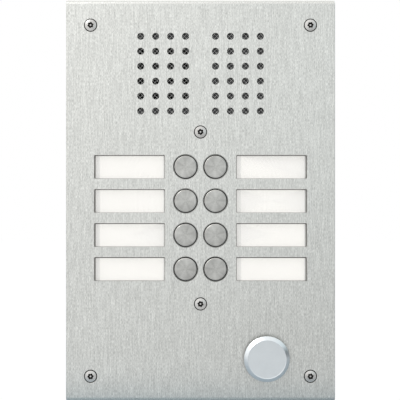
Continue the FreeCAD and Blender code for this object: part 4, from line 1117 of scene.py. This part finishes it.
@dataclass
class WindowCovers:
    """The eight clear name covers, each with a flange behind the plate and a band of painted shade round the
    pane's edge.
    """

    count: int = 8
    opening: tuple[float, float] = (47.5 * MM, 16.0 * MM)
    gap: float = 0.2 * MM
    corner: float = 0.5 * MM
    rise: float = 1.0 * MM
    flange_thickness: float = 1.2 * MM
    # Widths of the painted shade round each pane, widest on the outer side and the top; inner_edge is the
    # side towards the middle.
    outer_shade_band: float = 0.65 * MM
    top_shade_band: float = 0.5 * MM
    inner_edge: float = 0.25 * MM
    lower_shade_band: float = 0.12 * MM
    edge_fall: float = 0.12 * MM
    corner_steps: int = 6
    crease: float = math.radians(4)
    clear: Finish = CLEAR_COVER
    # The edge finish is painted shade.
    edge: Finish = COVER_EDGE_SHADE

    def ring(self, form: Form, low: tuple[float, float], high: tuple[float, float],
             corner: float, y: float) -> Ring:
        """One rounded rectangle of vertices.

        Args:
            form: The form being built.
            low: Its lowest x and z.
            high: Its highest x and z.
            corner: Its corner radius.
            y: Its place along Y.

        Returns:
            The vertices in order.
        """
        centres = [(high[0] - corner, high[1] - corner), (low[0] + corner, high[1] - corner),
                   (low[0] + corner, low[1] + corner), (high[0] - corner, low[1] + corner)]
        verts = []
        for quarter, (x, z) in enumerate(centres):
            for step in range(self.corner_steps + 1):
                angle = math.pi / 2 * (quarter + step / self.corner_steps)
                verts.append(form.verts.new((x + corner * math.cos(angle), y, z + corner * math.sin(angle))))
        return verts

    def template(self, side: int, depth: float, flange: tuple[float, float]) -> Piece:
        """One cover about the origin, its pane's face at y 0.

        Args:
            side: -1 for the covers on the left and 1 for those on the right.
            depth: From the pane's face to the flange's back.
            flange: Half of the flange's width and height.

        Returns:
            The cover.
        """
        form = bmesh.new()
        half_x, half_z = self.opening[0] / 2 - self.gap, self.opening[1] / 2 - self.gap
        left, right = (self.outer_shade_band, self.inner_edge) if side < 0 else (self.inner_edge, self.outer_shade_band)
        base = depth - self.flange_thickness
        pane_low, pane_high = (-half_x, -half_z), (half_x, half_z)
        face_low = (-half_x + left, -half_z + self.lower_shade_band)
        face_high = (half_x - right, half_z - self.top_shade_band)
        flange_low = (-flange[0], -flange[1])
        rings = [[form.verts.new((0.0, 0.0, 0.0))],
                 self.ring(form, face_low, face_high, self.corner, 0.0),
                 self.ring(form, pane_low, pane_high, self.corner, self.edge_fall),
                 self.ring(form, pane_low, pane_high, self.corner, base),
                 self.ring(form, flange_low, flange, self.corner, base),
                 self.ring(form, flange_low, flange, self.corner, depth),
                 [form.verts.new((0.0, depth, 0.0))]]
        # The two bands round the pane's face take the painted shade.
        bridge_rings(form, rings, inner=range(1, 3))
        return finished_piece("cover_template", form, [self.clear, self.edge], self.crease)

    def build(self) -> None:
        """Copy the cover into each opening."""
        low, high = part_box("name_window_1")
        flange = ((high.x - low.x) / 2, (high.z - low.z) / 2)
        templates = {side: self.template(side, high.y - low.y, flange) for side in (-1, 1)}
        for number in range(1, self.count + 1):
            node = f"name_window_{number}"
            centre = front_centre(node)
            template = templates[-1 if centre.x < 0 else 1]
            piece = set_copies(f"name_cover_{number}", template, self.clear, centre)
            add_piece(piece, PANEL, "clear_plastic", node)
        for template in templates.values():
            bpy.data.objects.remove(template)


@dataclass
class LightButton:
    """The large sprung button with its bevelled cap."""

    face_radius: float = 12.75 * MM
    cap_radius: float = 15.25 * MM
    bevel: float = 2.0 * MM
    edge: float = 0.7 * MM
    lip_width: float = 0.4 * MM
    lip_height: float = 0.16 * MM
    stem_radius: float = 6.0 * MM
    groove: float = 1.0 * MM
    clip_play: float = 0.05 * MM
    segments: int = 128
    roundings: dict[int, float] = field(default_factory=lambda: {
        2: 0.1 * MM, 3: 0.1 * MM, 4: 0.25 * MM, 5: 0.2 * MM, 11: 0.4 * MM})
    finish: Finish = ANODISED_CAP

    def build(self) -> Piece:
        """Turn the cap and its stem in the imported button's place.

        Returns:
            The button.
        """
        low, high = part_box("light_button")
        clip_low, clip_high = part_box("light_button_clip")
        depth = high.y - low.y
        front, back = clip_low.y - low.y - self.clip_play, clip_high.y - low.y + self.clip_play
        waist = self.stem_radius - self.groove
        inside = self.face_radius - self.lip_width
        underside = self.bevel + self.edge
        outline = [(0.0, self.lip_height), (0.6 * inside, self.lip_height), (inside, self.lip_height),
                   (self.face_radius, 0.0), (self.cap_radius, self.bevel), (self.cap_radius, underside),
                   (self.stem_radius, underside), (self.stem_radius, front), (waist, front),
                   (waist, back), (self.stem_radius, back), (self.stem_radius, depth), (0.0, depth)]
        soft = rounded_corners(outline, self.roundings)
        piece = turned_piece("light_button_cap", soft, self.segments, [self.finish])
        piece.data.transform(Matrix.Translation(front_centre("light_button")))
        return add_piece(piece, "light_button", "anodised_aluminium", "light_button")


@dataclass
class PackedPieces:
    """The frame's own pieces, each with the finish it is dressed in."""

    finishes: dict[Finish, tuple[str, ...]] = field(default_factory=lambda: {
        BRUSHED_PLATE: ("face_plate",),
        GALVANISED: ("back_box", "corner_lugs"),
        BLACK_RUBBER: ("plate_gasket", "cable_grommet", "speaker_gasket", "microphone_boot",
                       "light_button_seal"),
        BLACK_PLASTIC: ("audio_chassis", "button_carrier", "light_switch", "switch_plunger"),
        CARD_STOCK: ("name_cards",),
        OPAL_PLASTIC: ("light_diffusers",),
        BOARD_GREEN: ("main_board", "button_board"),
        LED_WHITE: ("backlight_leds",),
        SILICONE: ("keypad_mat",),
        CONE_PAPER: ("speaker_cone",),
        FERRITE: ("speaker_magnet",),
        BRIGHT_CAN: ("microphone_capsule",),
        NICKEL: ("light_button_housing", "light_button_nut"),
        ZINC: ("weld_studs", "stud_nuts", "board_screws", "board_pillars", "speaker_basket",
               "light_button_washer"),
        SPRING_STEEL: ("light_button_clip", "light_button_spring"),
        STRIP_BROWN: ("speaker_terminals",),
        GREEN_PLASTIC: ("terminal_block",),
        SLEEVE_BLUE: ("capacitors",),
        TRIMMER_BLUE: ("volume_trimmers",),
        RELAY_BLUE: ("door_relay",),
        CHIP_BLACK: ("amplifier_chip",),
        HEADER_IVORY: ("ribbon_headers",),
        RIBBON_GREY: ("ribbon_cable",),
        LEAD_RED: ("wiring_loom",),
    })

    def build(self) -> None:
        """Dress every piece and report it."""
        for finish, nodes in self.finishes.items():
            for name in nodes:
                for holder in frame["nodes"][name].material_slots:
                    holder.material = finish.material()
                LOG.info("%s dressed in %s", name, finish.name)


# ---- studio --------------------------------------------------------------------------------------
@dataclass(frozen=True)
class Lamp:
    """One soft area lamp, aimed at the middle of the panel."""

    name: str
    place: tuple[float, float, float]
    size: float
    power: float
    mirrored: bool = True

    def build(self, target: Vector) -> None:
        """Add the lamp to the scene.

        Args:
            target: What it is aimed at.
        """
        light = bpy.data.lights.new(self.name, "AREA")
        light.shape = "DISK"
        light.size = self.size
        light.energy = self.power
        holder = new_object(self.name, light)
        holder.location = self.place
        holder.rotation_euler = (target - Vector(self.place)).to_track_quat("-Z", "Y").to_euler()
        holder.visible_glossy = self.mirrored


@dataclass
class Studio:
    """Pale floor, white surroundings, soft lamps and the camera."""

    camera_distance: float = 0.535
    camera_shift: tuple[float, float] = (-0.35 * MM, 0.5 * MM)
    lens: float = 72.0
    ambient: float = 0.55
    bright_side: tuple[float, float, float] = (-0.6, 0.0, 0.4)
    room_range: tuple[float, float] = (0.98, 1.53)
    low_side: tuple[float, float] = (-0.7, -0.4)
    low_strength: float = 0.3
    low_tint: Colour = (0.82, 0.95, 1.0)
    tinted_side: tuple[float, float] = (-0.6, 0.2)
    dark_side: tuple[float, float, float] = (0.9, -0.3, -0.3)
    screen_edge: tuple[float, float] = (0.72, 0.92)
    screen_strength: float = 0.03
    floor_colour: Colour = (0.82, 0.82, 0.81)
    floor_white: float = 1.05
    floor_white_share: float = 0.93
    floor_mirrored_share: float = 0.75
    floor_half_width: float = 0.12
    # Painted light in the floor's glossy-ray emission: darker towards the right, and darker and bluer near
    # the panel's foot.
    floor_side_shade: tuple[float, float] = (1.17, 0.87)
    floor_near: tuple[float, float] = (-0.1, -0.05)
    floor_near_tint: Colour = (0.96, 0.98, 1.0)
    floor_shadow_tint: Colour = (0.6, 0.76, 0.88)
    floor_shadow_strength: float = 0.68
    floor_size: float = 4.0
    lamps: tuple[Lamp, ...] = (
        Lamp("key_lamp", (-1.0, -0.95, 1.25), 0.9, 12.0),
        Lamp("fill_lamp", (1.3, -0.8, 0.15), 1.2, 3.0, mirrored=False),
    )

    def build(self) -> None:
        """Set the view, the floor, the world, the lamps and the camera."""
        bpy.context.scene.view_settings.view_transform = "Standard"
        low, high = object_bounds()
        self.build_floor(low.z)
        self.build_world()
        plate_low, plate_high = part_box("face_plate")
        middle = (plate_low + plate_high) / 2
        for lamp in self.lamps:
            lamp.build(middle)
        self.build_camera(Vector((middle.x, plate_low.y, middle.z)))

    def build_floor(self, level: float) -> None:
        """Lay a wide pale floor.

        Args:
            level: Its height.
        """
        form = bmesh.new()
        bmesh.ops.create_grid(form, x_segments=8, y_segments=8, size=self.floor_size / 2)
        bmesh.ops.translate(form, verts=form.verts, vec=(0.0, 0.0, level))
        floor = new_object("studio_floor", plain_mesh("studio_floor", form))
        floor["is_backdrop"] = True
        floor.data.materials.append(self.floor_material())

    def floor_material(self) -> bpy.types.Material:
        """A floor that shows near white to the camera and takes the shadow; metal mirrors a painted emission
        of it, with painted shadow near the panel's foot and painted shade towards the right.

        Returns:
            The material.
        """
        material = bpy.data.materials.new("pale_floor")
        builder = TreeBuilder.cleared(material)
        path = builder.node("ShaderNodeLightPath").outputs
        matt = builder.first("ShaderNodeBsdfDiffuse", {"Color": (*self.floor_colour, 1.0)})
        white = builder.first("ShaderNodeEmission", {"Color": WHITE, "Strength": self.floor_white})
        # Painted shade and shadow for glossy rays: the emission falls off to the right and turns darker and
        # bluer near the panel.
        here = builder.node("ShaderNodeTexCoord").outputs["Object"]
        place = builder.node("ShaderNodeSeparateXYZ", {0: here}).outputs
        sides = (-self.floor_half_width, self.floor_half_width)
        across = builder.ranged(place["X"], sides, self.floor_side_shade)
        near = builder.ranged(place["Y"], self.floor_near, (1.0, 0.0))
        colour = builder.blended(near, (*self.floor_shadow_tint, 1.0), (*self.floor_near_tint, 1.0))
        shaded = builder.ranged(near, (0.0, 1.0), (self.floor_shadow_strength, 1.0))
        shade = builder.first("ShaderNodeEmission", {"Color": colour,
                                                     "Strength": builder.times(across, shaded)})
        seen = builder.times(path["Is Camera Ray"], self.floor_white_share)
        plain = builder.first("ShaderNodeMixShader", {0: seen, 1: matt, 2: white})
        mirrored = builder.times(path["Is Glossy Ray"], self.floor_mirrored_share)
        mixed = builder.first("ShaderNodeMixShader", {0: mirrored, 1: plain, 2: shade})
        builder.node("ShaderNodeOutputMaterial", {"Surface": mixed})
        return material

    def build_world(self) -> None:
        """White to the camera; in reflections a white room, brighter overhead and dark to the right."""
        world = bpy.data.worlds.new("studio_world")
        bpy.context.scene.world = world
        builder = TreeBuilder.cleared(world)
        path = builder.node("ShaderNodeLightPath").outputs
        mirrored = builder.maths("MAXIMUM", path["Is Glossy Ray"], path["Is Transmission Ray"])
        direction = builder.node("ShaderNodeTexCoord").outputs["Generated"]
        height = builder.vectors("DOT_PRODUCT", direction, self.bright_side)
        slope = builder.ranged(height, (-1.0, 1.0), self.room_range)
        low_side = builder.ranged(height, self.low_side, (self.low_strength, 1.0))
        toward = builder.vectors("DOT_PRODUCT", direction, self.dark_side)
        dark_screen = builder.ranged(toward, self.screen_edge, (1.0, self.screen_strength))
        room = builder.times(builder.times(slope, low_side), dark_screen)
        clear = builder.ranged(height, self.tinted_side, (0.0, 1.0))
        tint = builder.blended(clear, (*self.low_tint, 1.0), WHITE)
        soft, white, studio = (
            builder.first("ShaderNodeBackground", {"Color": colour, "Strength": strength})
            for colour, strength in ((WHITE, self.ambient), (WHITE, 1.0), (tint, room)))
        seen = builder.first("ShaderNodeMixShader", {0: path["Is Camera Ray"], 1: soft, 2: white})
        mixed = builder.first("ShaderNodeMixShader", {0: mirrored, 1: seen, 2: studio})
        builder.node("ShaderNodeOutputWorld", {"Surface": mixed})

    def build_camera(self, target: Vector) -> None:
        """A camera square to the panel.

        Args:
            target: The middle of the panel's face.
        """
        data = bpy.data.cameras.new("studio_camera")
        data.lens = self.lens
        camera = new_object("studio_camera", data)
        aside, above = self.camera_shift
        camera.location = target + Vector((aside, -self.camera_distance, above))
        camera.rotation_euler = UPRIGHT
        bpy.context.scene.camera = camera


# ---- the whole panel -----------------------------------------------------------------------------
def clear_startup_objects() -> None:
    """Remove whatever was in the scene before the frame was loaded."""
    kept = {piece.name for piece in frame["nodes"].values()}
    kept |= {body.name for body in frame["bodies"].values()}
    for item in list(bpy.data.objects):
        if item.name not in kept:
            bpy.data.objects.remove(item)


def corners(box: tuple[Vector, Vector]) -> list[list[float]]:
    """A box's two corners as plain lists."""
    return [list(corner) for corner in box]


def main() -> None:
    """Build the panel's looks and the studio round it."""
    logging.basicConfig(level=logging.INFO, format="%(message)s")
    clear_startup_objects()
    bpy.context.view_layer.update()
    for part in (PackedPieces, SpeechGrilles, PlateScrews, CallButtons, WindowCovers, LightButton, Studio):
        part().build()


if __name__ == "__main__":
    main()
